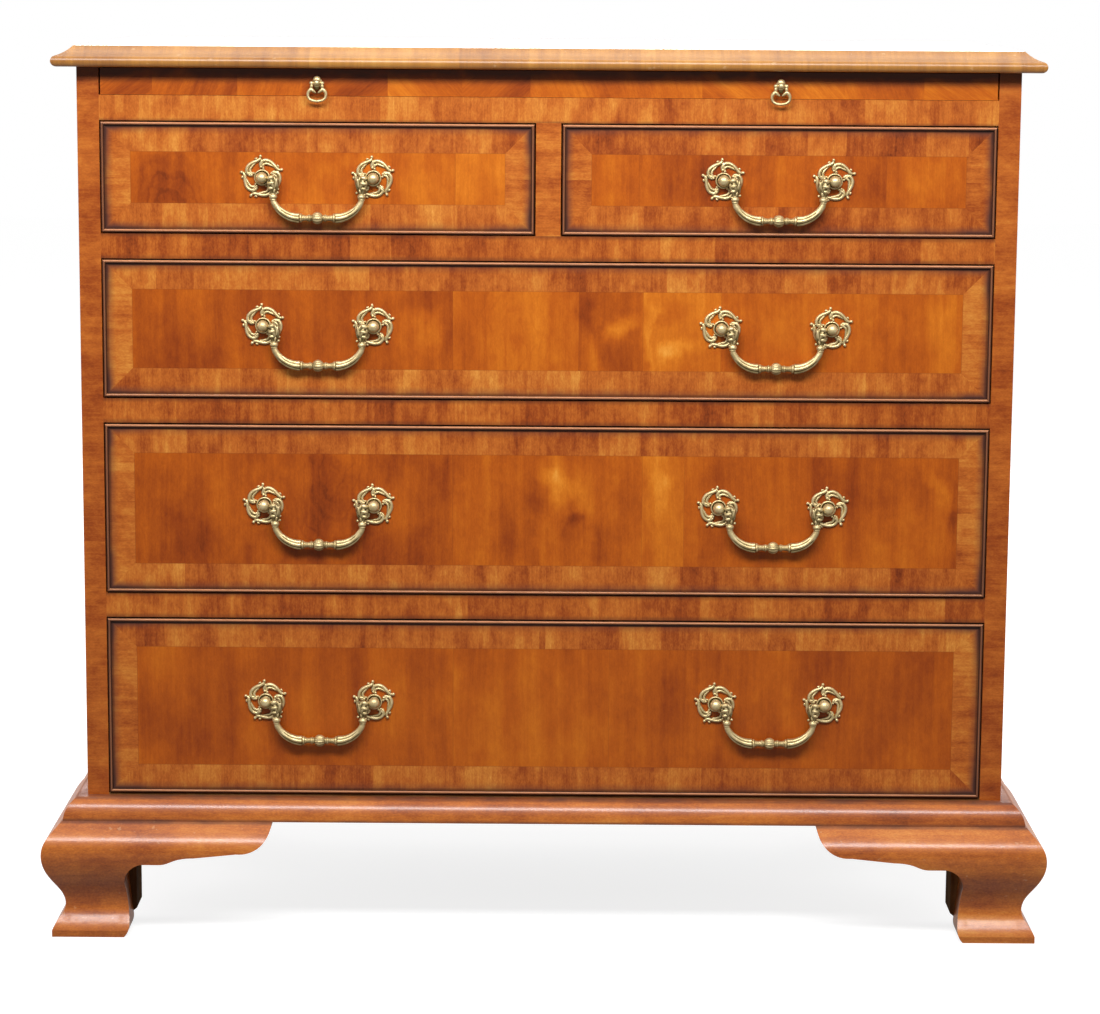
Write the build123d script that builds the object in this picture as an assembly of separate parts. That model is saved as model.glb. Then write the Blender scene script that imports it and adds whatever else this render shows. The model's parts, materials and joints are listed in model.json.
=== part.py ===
from build123d import *
import math
import os

# Bachelor's chest: brushing slide, two short and three long drawers, ogee bracket feet.
# Millimetres. X runs to the right, the drawers face -Y, Z is up and the feet stand on Z = 0.

# Case
case_width = 860
case_depth = 455
side_thickness = 20
rail_height = 23
rail_depth = 55
divider_width = 23
bottom_board_thickness = 22
top_thickness = 19
short_opening_height = 103
upper_opening_height = 129
middle_opening_height = 160
lower_opening_height = 169
slide_opening_height = 25.5
housing_depth = 6
housing_stop = 8
runner_width = 45
centre_runner_width = 90
guide_height = 30
back_thickness = 8
back_rabbet_width = 12
back_board_count = 5
back_board_gap = 0.6

# Top lipping: shares of its overhang and of the top's thickness, measured down from the top
top_overhang = 20.6
top_lipping_inset = 10
top_arris_out_share = 0.1
top_cove_out_share = 0.42
top_cove_drop_share = 0.28
top_step_out_share = 0.87
top_step_drop_share = 0.49
top_nose_drop_share = 0.72
top_under_out_share = 0.75

# Base moulding
base_moulding_height = 20.5
base_moulding_overhang = 21
base_ledge_width = 8.6
base_round_out_share = 0.8
base_round_height_share = 0.63

# Ogee bracket feet
foot_height = 109.5
foot_bulge = 39.5
bracket_inset = 6
wing_reach = 175
back_bracket_thickness = 18
foot_block_width = 38
foot_block_lift = 8
foot_block_chamfer = 10
wing_block_size = 20
wing_block_gap = 4
ogee_shares = (
    (0.557, 1), (0.78, 0.913), (0.952, 0.822), (1, 0.731), (0.911, 0.584), (0.709, 0.457),
    (0.527, 0.333), (0.516, 0.228), (0.668, 0.137), (0.795, 0.055),
)
wing_end_shares = ((1, 1), (0.965, 0.86), (0.817, 0.758))
step_shares = ((0.589, 0.721), (0.48, 0.694), (0.4, 0.658))
corner_shares = ((0.303, 0.658), (0.234, 0.585), (0.211, 0.475))
pad_shares = ((0.234, 0.128), (0.229, 0.055), (0.206, 0))

# Drawers
front_gap = 1.1
front_thickness = 22
bead_thickness = 3.2
bead_depth = 10
bead_proud = 2.5
drawer_side_thickness = 10
drawer_back_thickness = 9
drawer_bottom_thickness = 5
drawer_side_top_gap = 1.5
drawer_back_drop = 4
drawer_rear_space = 10
groove_depth = 4
bottom_lift = 8
tail_depth = 11
tail_pitch = 34
tail_root_share = 0.6
tail_slope_share = 0.14
running_gap = 0.3
stop_gap = 0.3
stop_height = 6
stop_length = 40
stop_depth = 20
long_stop_reach = 150
short_stop_reach = 120

# Brushing slide
slide_back_gap = 62
slide_side_gap = 1.5
slide_top_gap = 1
slide_edge_depth = 22
cleat_width = 45
cleat_tongue_depth = 8
cleat_tongue_height = 8
slide_block_drop = 8
slide_block_width = 40
slide_block_depth = 20
slide_block_setback = 49.7
slide_block_reach = 150
slide_stop_width = 30
slide_stop_height = 12

# Handles
post_spacing = 101.6
short_post_rise = 0.5
upper_post_rise = 3.8
middle_post_rise = 4.2
lower_post_rise = 5.4
shank_radius = 2.4
shank_fit = 0.05
shank_show = 3
nut_size = 10
nut_thickness = 3
post_collar_radius = 4.6
post_collar_length = 1.2
post_neck_radius = 2.8
post_ball_radius = 5.2
post_ball_reach = 8
pin_radius = 1.5
pin_fit = 0.08
pin_end_gap = 0.3
socket_depth = 4

# Pierced rose behind each post
rose_plate = 1.4
rose_rim = 2.6
rose_centre_radius = 7
rose_cup_radius = 5.4
rose_lobe_count = 5
rose_lobe_radius = 7.3
rose_lobe_reach = 11
rose_hole_radius = 3.5
rose_hole_reach = 10.9
rose_channel_width = 1.3
rose_first_lobe_angle = 44
rose_tip_angle = 22
rose_tip_reach = 19.2
rose_tip_radius = 1.7
rose_stem_reach = 16.6
rose_stem_radius = 1.5
rose_bud_angle = 7
rose_bud_reach = 18.2
rose_bud_radius = 1.3

# Swan-neck bails
leaf_reach = 10.5
leaf_top = 2.6
leaf_radius = 4.6
leaf_middle = 5
leaf_foot = 14
leaf_foot_radius = 2.4
bail_collar_radius = 3.9
bail_collar_drop = 16.9
bail_radius = 2.95
bail_flute_radius = 4
bend_start_drop = 18.8
bend_tight_radius = 9
bend_wide_radius = 26
bend_tight_angle = 30
bend_wide_angle = 60
bail_bead_radius = 4.4
bail_bead_width = 2.6
bail_neck_radius = 2.4
small_bead_radius = 3.2
small_bead_width = 1.8
bail_ball_radius = 5.4

# Slide pulls and their rings
pull_shank_radius = 1.8
pull_shank_length = 16
pull_base_radius = 4.6
pull_base_thickness = 1.4
pull_neck_radius = 2.2
pull_ball_radius = 3.9
pull_ball_reach = 7
ring_bar_radius = 1
ring_bar_fit = 0.08
ring_knob_radius = 1.9
ring_knob_gap = 0.3
ring_radius = 8.4
ring_wire_radius = 1.25
ring_centre_drop = 8.45
ring_gap_angle = 90

# Cuts pass the face that they open by this much
overrun = 2

# Places worked out from the sizes above
half_width = case_width / 2
inner_half = half_width - side_thickness
housed_half = inner_half + housing_depth
face_y = (foot_bulge - case_depth) / 2
back_y = face_y + case_depth
inside_back_y = back_y - back_thickness
rail_back_y = face_y + rail_depth
slide_back_y = inside_back_y - slide_back_gap
lower_floor = foot_height + bottom_board_thickness
lower_ceiling = lower_floor + lower_opening_height
middle_floor = lower_ceiling + rail_height
middle_ceiling = middle_floor + middle_opening_height
upper_floor = middle_ceiling + rail_height
upper_ceiling = upper_floor + upper_opening_height
short_floor = upper_ceiling + rail_height
short_ceiling = short_floor + short_opening_height
slide_floor = short_ceiling + rail_height
slide_ceiling = slide_floor + slide_opening_height
top_z = slide_ceiling + top_thickness
rail_floors = (lower_ceiling, middle_ceiling, upper_ceiling, short_ceiling)
half_divider = divider_width / 2
handle_reach = (half_divider + inner_half) / 2
slide_z = (slide_floor + running_gap, slide_ceiling - slide_top_gap)
slide_middle_z = sum(slide_z) / 2

# Profiles are drawn as (distance out from the case, height) on these planes.
front_plane = Plane(origin=(0, face_y, 0), x_dir=(0, -1, 0), z_dir=(-1, 0, 0))
left_plane = Plane(origin=(-half_width, back_y, 0), x_dir=(-1, 0, 0), z_dir=(0, 1, 0))


def span_box(x_span, y_span, z_span):
    """Box between three pairs of coordinates."""
    spans = (x_span, y_span, z_span)
    sizes = [high - low for low, high in spans]
    middles = [(high + low) / 2 for low, high in spans]
    return Pos(*middles) * Box(*sizes)


def face_of(*lines):
    """Flat face inside a closed chain of lines and arcs."""
    return make_face([edge for line in lines for edge in line.edges()])


def prism(plane, points, depth):
    """Polygon on a plane, given thickness along the plane's normal."""
    return extrude(plane * face_of(Polyline(*points, close=True)), amount=depth)


def mirrored_x(piece):
    """The same piece on the other side of the case."""
    return mirror(piece, about=Plane.YZ)


def mirrored_y(piece):
    """The same piece at the other end of the case's depth."""
    return mirror(piece, about=Plane(origin=(0, (face_y + back_y) / 2, 0), z_dir=(0, 1, 0)))


def save(node, *pieces):
    """Write one node; several solids stay separate solids in it."""
    solids = [solid for piece in pieces for solid in piece.solids()]
    export_step(Compound(solids), f"parts/{node}.step")


# Case


def left_side():
    """Side panel, housed for the rails and bottom, rabbeted for the back boards."""
    panel = span_box((-half_width, -inner_half), (face_y, back_y), (foot_height, slide_ceiling))
    inner_x = -inner_half + overrun
    levels = [(floor, floor + rail_height) for floor in rail_floors]
    levels.append((foot_height - overrun, lower_floor))
    for level in levels:
        panel -= span_box((-housed_half, inner_x), (face_y + housing_stop, inside_back_y), level)
    rabbet_x = (-inner_half - back_rabbet_width, inner_x)
    rabbet_z = (foot_height - overrun, slide_ceiling + overrun)
    return panel - span_box(rabbet_x, (inside_back_y, back_y + overrun), rabbet_z)


def housed_board(y_back, z_span):
    """Board between the sides whose ends enter the housings behind the front edge."""
    board = span_box((-inner_half, inner_half), (face_y, y_back), z_span)
    return board + span_box((-housed_half, housed_half), (face_y + housing_stop, y_back), z_span)


def rail(floor):
    """Front rail above a drawer."""
    return housed_board(rail_back_y, (floor, floor + rail_height))


def runner_set():
    """Side runners at every level, centre runners and the guide between the short drawers."""
    y_span = (rail_back_y, inside_back_y)
    pieces = []
    for floor in rail_floors:
        z_span = (floor, floor + rail_height)
        runner = span_box((-housed_half, -inner_half + runner_width), y_span, z_span)
        pieces += [runner, mirrored_x(runner)]
    half_centre = centre_runner_width / 2
    for floor in (upper_ceiling, short_ceiling):
        z_span = (floor, floor + rail_height)
        pieces.append(span_box((-half_centre, half_centre), y_span, z_span))
    guide_z = (short_floor, short_floor + guide_height)
    pieces.append(span_box((-half_divider, half_divider), y_span, guide_z))
    return pieces


def centre_divider():
    """Upright between the two short drawers."""
    return span_box((-half_divider, half_divider), (face_y, rail_back_y), (short_floor, short_ceiling))


def drawer_stops():
    """Blocks that stop each drawer front and the slide when they are shut."""
    front_y = face_y + front_thickness + stop_gap
    y_span = (front_y, front_y + stop_depth)
    pieces = []
    long_floors = (lower_floor, middle_floor, upper_floor)
    places = [(x, floor) for floor in long_floors for x in (-long_stop_reach, long_stop_reach)]
    for centre in (-handle_reach, handle_reach):
        places += [(centre + side * short_stop_reach, short_floor) for side in (-1, 1)]
    for x, floor in places:
        x_span = (x - stop_length / 2, x + stop_length / 2)
        pieces.append(span_box(x_span, y_span, (floor, floor + stop_height)))
    rear_y = slide_back_y + stop_gap
    rear_z = (slide_floor, slide_floor + slide_stop_height)
    rear_x = (-inner_half, -inner_half + slide_stop_width)
    rear_stop = span_box(rear_x, (rear_y, rear_y + stop_depth), rear_z)
    return pieces + [rear_stop, mirrored_x(rear_stop)]


def back_boards():
    """Upright boards in the rabbets behind the case."""
    half_span = inner_half + back_rabbet_width
    pitch = 2 * half_span / back_board_count
    boards = []
    for index in range(back_board_count):
        low = -half_span + index * pitch
        x_span = (low + back_board_gap / 2, low + pitch - back_board_gap / 2)
        if index == 0:
            x_span = (low, x_span[1])
        if index == back_board_count - 1:
            x_span = (x_span[0], half_span)
        boards.append(span_box(x_span, (inside_back_y, back_y), (foot_height, slide_ceiling)))
    return boards


def top_panel():
    """Flat of the top, inside its lipping."""
    half_span = half_width - top_lipping_inset
    return span_box((-half_span, half_span), (face_y + top_lipping_inset, back_y), (slide_ceiling, top_z))


# Mouldings and mitres


def top_profile():
    """Cove above a rounded nose."""
    def drop(share):
        return top_z - share * top_thickness

    arris = (top_arris_out_share * top_overhang, top_z)
    cove = (top_cove_out_share * top_overhang, drop(top_cove_drop_share))
    step = (top_step_out_share * top_overhang, drop(top_step_drop_share))
    nose = (top_overhang, drop(top_nose_drop_share))
    under = (top_under_out_share * top_overhang, slide_ceiling)
    inner = ((-top_lipping_inset, slide_ceiling), (-top_lipping_inset, top_z))
    return face_of(
        Polyline(under, *inner, arris),
        ThreePointArc(arris, cove, step),
        ThreePointArc(step, nose, under),
    )


def base_profile():
    """Flat ledge with a rounded face below it."""
    ledge_z = foot_height + base_moulding_height
    ledge = (base_ledge_width, ledge_z)
    round_out = base_round_out_share * base_moulding_overhang
    middle = (round_out, foot_height + base_round_height_share * base_moulding_height)
    under = (base_moulding_overhang, foot_height)
    return face_of(
        Polyline(under, (0, foot_height), (0, ledge_z), ledge),
        ThreePointArc(ledge, middle, under),
    )


def front_mitre(far, near, z_span):
    """Prism that keeps what lies between the two front mitres."""
    points = (
        (-half_width - far, face_y - far), (half_width + far, face_y - far),
        (half_width - near, face_y + near), (-half_width + near, face_y + near),
    )
    return prism(Plane.XY.offset(z_span[0]), points, z_span[1] - z_span[0])


def left_mitre(far, near, z_span):
    """Prism that keeps what lies behind the left front mitre."""
    points = (
        (-half_width - far, face_y - far), (-half_width + near, face_y + near),
        (-half_width + near, back_y), (-half_width - far, back_y),
    )
    return prism(Plane.XY.offset(z_span[0]), points, z_span[1] - z_span[0])


def moulding_run(profile, out, inset, z_span):
    """Front length and two returns of one moulding, mitred at the front corners."""
    far = out + overrun
    near = inset + overrun
    cut_z = (z_span[0] - overrun, z_span[1] + overrun)
    front = extrude(front_plane * profile, amount=half_width + far, both=True)
    left = extrude(left_plane * profile, amount=-(case_depth + far))
    left = left & left_mitre(far, near, cut_z)
    return [front & front_mitre(far, near, cut_z), left, mirrored_x(left)]


# Feet


def foot_points(shares):
    """Points in from the corner of the case and up from the floor."""
    return [(-half_width + reach * wing_reach, height * foot_height) for reach, height in shares]


def bracket_contour(thickness):
    """Front view of a bracket: winged end, stepped shelf, ankle and pad."""
    wing_end = foot_points(wing_end_shares)
    step = foot_points(step_shares)
    corner = foot_points(corner_shares)
    pad = foot_points(pad_shares)
    far_x = -half_width - foot_bulge - overrun
    outline = face_of(
        Polyline(pad[-1], (far_x, 0), (far_x, foot_height), wing_end[0]),
        ThreePointArc(*wing_end),
        Line(wing_end[-1], step[0]),
        Spline(*step, tangents=[(-1, 0), (-1, 0)]),
        Line(step[-1], corner[0]),
        ThreePointArc(*corner),
        Line(corner[-1], pad[0]),
        ThreePointArc(*pad),
    )
    front_y = face_y - foot_bulge - overrun
    return extrude(Plane.XZ.offset(-front_y) * outline, amount=-(thickness + foot_bulge + overrun))


def ogee_profile():
    """Swelling ogee of the feet, flat behind."""
    curve = [(out * foot_bulge, height * foot_height) for out, height in ogee_shares]
    pad_edge = (curve[-1][0], 0)
    return face_of(
        Polyline(curve[-1], pad_edge, (-bracket_inset, 0), (-bracket_inset, foot_height), curve[0]),
        Spline(*curve),
    )


def front_bracket():
    """Ogee bracket under the front, at the left corner, with a square end."""
    length = extrude(front_plane * ogee_profile(), amount=half_width, both=True)
    return length & bracket_contour(bracket_inset + overrun)


def corner_mirror(piece):
    """Turn a front bracket into the side bracket of the same corner."""
    return mirror(piece, about=Plane(origin=(-half_width, face_y, 0), z_dir=(1, -1, 0)))


def front_foot():
    """Front and side brackets of the left front foot, mitred together."""
    far = foot_bulge + overrun
    z_span = (-overrun, foot_height + overrun)
    long_stock = extrude(front_plane * ogee_profile(), amount=half_width + far, both=True)
    bracket = long_stock & bracket_contour(bracket_inset + overrun)
    bracket = bracket & front_mitre(far, bracket_inset + overrun, z_span)
    return [bracket, corner_mirror(bracket)]


def rear_foot():
    """Ogee side bracket and plain back bracket of the left rear foot."""
    side_bracket = mirrored_y(corner_mirror(front_bracket()))
    plain = bracket_contour(back_bracket_thickness)
    x_span = (-half_width + bracket_inset, half_width)
    board = span_box(x_span, (face_y, face_y + back_bracket_thickness), (0, foot_height))
    return [side_bracket, mirrored_y(plain & board)]


def corner_blocks(front_edge):
    """Upright glue block and two wing blocks inside the left front foot."""
    left_edge = -half_width + bracket_inset
    x_span = (left_edge, left_edge + foot_block_width)
    y_span = (front_edge, front_edge + foot_block_width)
    upright = span_box(x_span, y_span, (foot_block_lift, foot_height))
    bottom_edges = upright.faces().sort_by(Axis.Z)[0].edges()
    upright = chamfer(bottom_edges, foot_block_chamfer)
    z_span = (foot_height - wing_block_size, foot_height)
    along_x = (x_span[1] + wing_block_gap, -half_width + wing_reach - wing_block_size)
    along_y = (y_span[1] + wing_block_gap, face_y + wing_reach - wing_block_size)
    front_wing = span_box(along_x, (front_edge, front_edge + wing_block_size), z_span)
    side_wing = span_box((left_edge, left_edge + wing_block_size), along_y, z_span)
    return [upright, front_wing, side_wing]


def foot_blocks():
    """Glue blocks of all four feet."""
    front = corner_blocks(face_y + bracket_inset)
    rear = [mirrored_y(block) for block in corner_blocks(face_y + back_bracket_thickness)]
    left = front + rear
    return left + [mirrored_x(block) for block in left]


# Handles


def post(inner_side):
    """Ball-headed post along -Y with its shank behind and a socket for the bail's pin."""
    shank_end = front_thickness + nut_thickness + shank_show
    collar_end = rose_plate + post_collar_length
    ball_start = post_ball_reach - math.sqrt(post_ball_radius**2 - post_neck_radius**2)
    outline = face_of(
        Polyline(
            (0, -post_ball_reach - post_ball_radius), (0, shank_end), (shank_radius, shank_end),
            (shank_radius, -rose_plate), (post_collar_radius, -rose_plate),
            (post_collar_radius, -collar_end), (post_neck_radius, -collar_end),
            (post_neck_radius, -ball_start),
        ),
        ThreePointArc(
            (post_neck_radius, -ball_start), (post_ball_radius, -post_ball_reach),
            (0, -post_ball_reach - post_ball_radius),
        ),
    )
    body = revolve(outline, Axis.Y)
    socket_length = socket_depth + overrun
    socket_x = inner_side * (post_ball_radius - socket_depth + socket_length / 2)
    socket = Cylinder(pin_radius + pin_fit, socket_length, rotation=(0, 90, 0))
    return body - Pos(socket_x, -post_ball_reach, 0) * socket


def nut():
    """Square nut behind the drawer front."""
    bore = Cylinder(shank_radius + shank_fit, nut_thickness + 2 * overrun, rotation=(90, 0, 0))
    blank = Box(nut_size, nut_thickness, nut_size) - bore
    return Pos(0, front_thickness + nut_thickness / 2, 0) * blank


def polar(reach, degrees):
    """Place at a distance and an angle from the rose's centre."""
    return Pos(reach * math.cos(math.radians(degrees)), reach * math.sin(math.radians(degrees)))


def rose():
    """Pierced rose of five scrolled lobes, ball tips and buds round a raised cup."""
    angles = [rose_first_lobe_angle + 360 / rose_lobe_count * index for index in range(rose_lobe_count)]
    lobes = [polar(rose_lobe_reach, angle) * Circle(rose_lobe_radius) for angle in angles]
    holes = [polar(rose_hole_reach, angle) * Circle(rose_hole_radius) for angle in angles]
    channel_radius = rose_hole_radius + rose_channel_width
    channels = [polar(rose_hole_reach, angle) * Circle(channel_radius) for angle in angles]
    shank_hole = Circle(shank_radius + shank_fit)
    plate = Circle(rose_centre_radius) + lobes - holes - shank_hole
    rims = Circle(rose_centre_radius) + lobes - channels - Circle(rose_cup_radius)
    body = extrude(Plane.XZ * plate, amount=rose_plate) + extrude(Plane.XZ * rims, amount=rose_rim)
    for angle in angles:
        knobs = (
            polar(rose_tip_reach, angle - rose_tip_angle) * Circle(rose_tip_radius)
            + polar(rose_stem_reach, angle - rose_tip_angle) * Circle(rose_stem_radius)
            + polar(rose_bud_reach, angle - rose_bud_angle) * Circle(rose_bud_radius)
        )
        body += extrude(Plane.XZ * knobs, amount=rose_rim)
    return body


def bail():
    """Swan-neck bail about its pin axis, hanging down from the origin."""
    left_x = -post_spacing / 2
    pin_start = left_x + post_ball_radius - socket_depth + pin_end_gap
    leaf_x = left_x + leaf_reach
    pin_length = leaf_x - pin_start
    pin = Pos(pin_start + pin_length / 2, 0, 0) * Cylinder(pin_radius, pin_length, rotation=(0, 90, 0))
    leaf_outline = face_of(
        Polyline((leaf_foot_radius, -leaf_foot), (0, -leaf_foot), (0, leaf_top)),
        ThreePointArc((0, leaf_top), (leaf_radius, -leaf_middle), (leaf_foot_radius, -leaf_foot)),
    )
    leaf = Pos(leaf_x, 0, 0) * revolve(Plane.XZ * leaf_outline, Axis.Z)
    collar = Pos(leaf_x, 0, -bail_collar_drop) * Sphere(bail_collar_radius)
    neck_length = bend_start_drop - leaf_foot
    neck = Pos(leaf_x, 0, -leaf_foot - neck_length / 2) * Cylinder(leaf_foot_radius, neck_length)
    half = pin + leaf + collar + neck + bail_bend(leaf_x) + bail_turning()
    return half + mirrored_x(half)


def bend_end(leaf_x):
    """Where the bend runs level: its X and its drop below the pin."""
    turn = math.radians(bend_tight_angle)
    end = math.radians(bend_tight_angle + bend_wide_angle)
    across = bend_tight_radius * (1 - math.cos(turn)) + bend_wide_radius * (math.cos(turn) - math.cos(end))
    down = bend_tight_radius * math.sin(turn) + bend_wide_radius * (math.sin(end) - math.sin(turn))
    return leaf_x + across, bend_start_drop + down


def bail_bend(leaf_x):
    """Tube that turns from the collar to the level, thickening on its way."""
    tight = JernArc((leaf_x, -bend_start_drop), (0, -1), bend_tight_radius, bend_tight_angle)
    wide = JernArc(tight @ 1, tight % 1, bend_wide_radius, bend_wide_angle)
    path = Plane.XZ * Wire([tight.edge(), wide.edge()])
    start = Plane(origin=path @ 0, z_dir=path % 0) * Circle(bail_radius)
    end = Plane(origin=path @ 1, z_dir=path % 1) * Circle(bail_flute_radius)
    return sweep([start, end], path=path, multisection=True)


def bail_turning():
    """Turned middle of the bail: bead, neck, small bead and half of the centre ball."""
    start_x, drop = bend_end(-post_spacing / 2 + leaf_reach)
    bead_end = start_x + bail_bead_width
    ball_start = -math.sqrt(bail_ball_radius**2 - bail_neck_radius**2)
    small_start = ball_start - small_bead_width
    ball_turn = math.radians(45)
    ball_middle = (-bail_ball_radius * math.cos(ball_turn), bail_ball_radius * math.sin(ball_turn))
    outline = face_of(
        Polyline((0, bail_ball_radius), (0, 0), (start_x, 0), (start_x, bail_flute_radius)),
        ThreePointArc(
            (start_x, bail_flute_radius), ((start_x + bead_end) / 2, bail_bead_radius),
            (bead_end, bail_neck_radius),
        ),
        Line((bead_end, bail_neck_radius), (small_start, bail_neck_radius)),
        ThreePointArc(
            (small_start, bail_neck_radius), ((small_start + ball_start) / 2, small_bead_radius),
            (ball_start, bail_neck_radius),
        ),
        ThreePointArc((ball_start, bail_neck_radius), ball_middle, (0, bail_ball_radius)),
    )
    return Pos(0, 0, -drop) * revolve(outline, Axis.X)


def handle_places(centre_x, post_z):
    """The two posts of one handle: X, Z and the side on which the bail's pin enters."""
    return [(centre_x + side * post_spacing / 2, post_z, -side) for side in (-1, 1)]


def handle_mounts(places):
    """Roses, posts and nuts of the handles on one drawer."""
    plain_rose = rose()
    plain_nut = nut()
    pieces = []
    for x, z, inner_side in places:
        at = Pos(x, face_y, z)
        pieces += [at * plain_rose, at * post(inner_side), at * plain_nut]
    return pieces


# Drawers


def tails(low, high):
    """Root spans of the dovetails that fill a height."""
    count = max(1, round((high - low) / tail_pitch))
    pitch = (high - low) / count
    half = pitch * tail_root_share / 2
    middles = [low + pitch * (index + 1 / 2) for index in range(count)]
    return [(middle - half, middle + half) for middle in middles]


def side_blank(outer_x, side_z, front_z, back_z):
    """Drawer side with lapped tails at the front and through tails at the back."""
    root_y = face_y + front_thickness
    tip_y = root_y - tail_depth
    end_y = inside_back_y - drawer_rear_space
    back_root_y = end_y - drawer_back_thickness
    flare = tail_depth * tail_slope_share
    back_flare = drawer_back_thickness * tail_slope_share
    points = [(root_y, side_z[0])]
    for low, high in tails(max(front_z[0], side_z[0]), min(front_z[1], side_z[1])):
        points += [(root_y, low), (tip_y, low - flare), (tip_y, high + flare), (root_y, high)]
    points += [(root_y, side_z[1]), (end_y, side_z[1]), (end_y, back_z[1]), (back_root_y, back_z[1])]
    for low, high in reversed(tails(*back_z)):
        points += [(back_root_y, high), (end_y, high + back_flare)]
        points += [(end_y, low - back_flare), (back_root_y, low)]
    points += [(back_root_y, back_z[0]), (end_y, back_z[0]), (end_y, side_z[0])]
    return prism(Plane.YZ.offset(outer_x), points, drawer_side_thickness)


def bead_profile():
    """Cock bead: (distance out from the face, distance in from the front's edge)."""
    straight = bead_proud - bead_thickness / 2
    return face_of(
        Polyline((straight, 0), (-bead_depth, 0), (-bead_depth, bead_thickness), (straight, bead_thickness)),
        ThreePointArc((straight, bead_thickness), (bead_proud, bead_thickness / 2), (straight, 0)),
    )


def bead_strip(start, along, inwards, length):
    """One bead along an edge of the front, cut to a mitre at both ends."""
    along = Vector(*along)
    inwards = Vector(*inwards)
    start = Vector(*start)
    plane = Plane(origin=start + along * (length / 2), x_dir=(0, -1, 0), z_dir=along)
    profile = bead_profile()
    if plane.y_dir.dot(inwards) < 0:
        profile = mirror(profile, about=Plane.XZ)
    strip = extrude(plane * profile, amount=length / 2, both=True)
    deep = bead_thickness + overrun
    corners = (
        start - along * overrun - inwards * overrun,
        start + along * (length + overrun) - inwards * overrun,
        start + along * (length - deep) + inwards * deep,
        start + along * deep + inwards * deep,
    )
    wedge = make_face(Polyline(*corners, close=True).edges())
    reach = bead_depth + bead_proud + overrun
    return strip & extrude(wedge, amount=reach, both=True, dir=(0, 1, 0))


def bead_set(x_span, z_span):
    """Four mitred beads round one drawer front."""
    width = x_span[1] - x_span[0]
    height = z_span[1] - z_span[0]
    return [
        bead_strip((x_span[0], face_y, z_span[0]), (1, 0, 0), (0, 0, 1), width),
        bead_strip((x_span[0], face_y, z_span[1]), (1, 0, 0), (0, 0, -1), width),
        bead_strip((x_span[0], face_y, z_span[0]), (0, 0, 1), (1, 0, 0), height),
        bead_strip((x_span[1], face_y, z_span[0]), (0, 0, 1), (-1, 0, 0), height),
    ]


def drawer(name, opening_x, opening_z, handle_xs, post_rise):
    """Write the pieces of one drawer and of its handles."""
    front_x = (opening_x[0] + front_gap, opening_x[1] - front_gap)
    front_z = (opening_z[0] + front_gap, opening_z[1] - front_gap)
    side_z = (opening_z[0] + running_gap, opening_z[1] - drawer_side_top_gap)
    root_y = face_y + front_thickness
    end_y = inside_back_y - drawer_rear_space
    bottom_z = (side_z[0] + bottom_lift, side_z[0] + bottom_lift + drawer_bottom_thickness)
    back_z = (bottom_z[1], side_z[1] - drawer_back_drop)
    post_z = sum(opening_z) / 2 + post_rise

    inset_x = (front_x[0] + bead_thickness, front_x[1] - bead_thickness)
    inset_z = (front_z[0] + bead_thickness, front_z[1] - bead_thickness)
    front = span_box(inset_x, (face_y, root_y), inset_z)
    front += span_box(front_x, (face_y + bead_depth, root_y), front_z)
    blanks = [
        side_blank(front_x[0], side_z, front_z, back_z),
        side_blank(front_x[1] - drawer_side_thickness, side_z, front_z, back_z),
    ]
    in_groove = drawer_side_thickness - groove_depth
    bottom_x = (front_x[0] + in_groove, front_x[1] - in_groove)
    bottom = span_box(bottom_x, (root_y - groove_depth, end_y), bottom_z)
    back = span_box(front_x, (end_y - drawer_back_thickness, end_y), back_z)

    places = [place for x in handle_xs for place in handle_places(x, post_z)]
    bore_length = front_thickness + 2 * overrun
    bore = Cylinder(shank_radius + shank_fit, bore_length, rotation=(90, 0, 0))
    bores = [Pos(x, face_y + front_thickness / 2, z) * bore for x, z, side in places]

    save(f"{name}_front", front - blanks - bottom - bores)
    save(f"{name}_sides", *[blank - bottom for blank in blanks])
    save(f"{name}_back", back - blanks)
    save(f"{name}_bottom", bottom)
    save(f"{name}_cock_bead", *bead_set(front_x, front_z))
    save(f"{name}_handle_mounts", *handle_mounts(places))
    plain_bail = bail()
    for x in handle_xs:
        side_name = "left" if x < 0 else "right"
        node = f"{name}_bail" if len(handle_xs) == 1 else f"{name}_{side_name}_bail"
        save(node, Pos(x, face_y - post_ball_reach, post_z) * plain_bail)


# Brushing slide


def slide_board():
    """Clamped board of the slide, with the blocks that stop it below its rear edge."""
    slide_half = inner_half - slide_side_gap
    y_span = (face_y + slide_edge_depth, slide_back_y)
    seam_x = slide_half - cleat_width
    tongue_z = (slide_middle_z - cleat_tongue_height / 2, slide_middle_z + cleat_tongue_height / 2)
    tongue_x = seam_x + cleat_tongue_depth
    panel = span_box((-seam_x, seam_x), y_span, slide_z) + span_box((-tongue_x, tongue_x), y_span, tongue_z)
    cleat = span_box((-slide_half, -seam_x), y_span, slide_z) - panel
    stop_end = slide_back_y - slide_block_setback
    stop_x = (-slide_block_reach - slide_block_width / 2, -slide_block_reach + slide_block_width / 2)
    stop_z = (slide_z[0] - slide_block_drop, slide_z[0])
    stop = span_box(stop_x, (stop_end - slide_block_depth, stop_end), stop_z)
    return [panel, cleat, mirrored_x(cleat), stop, mirrored_x(stop)]


def slide_front_edge():
    """Lipping along the front of the slide, bored for the two pulls."""
    slide_half = inner_half - slide_side_gap
    edge = span_box((-slide_half, slide_half), (face_y, face_y + slide_edge_depth), slide_z)
    bore_length = pull_shank_length + overrun
    bore = Cylinder(pull_shank_radius + shank_fit, bore_length, rotation=(90, 0, 0))
    bore_y = face_y + (pull_shank_length - overrun) / 2
    bores = [Pos(x, bore_y, slide_middle_z) * bore for x in (-handle_reach, handle_reach)]
    return edge - bores


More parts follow.
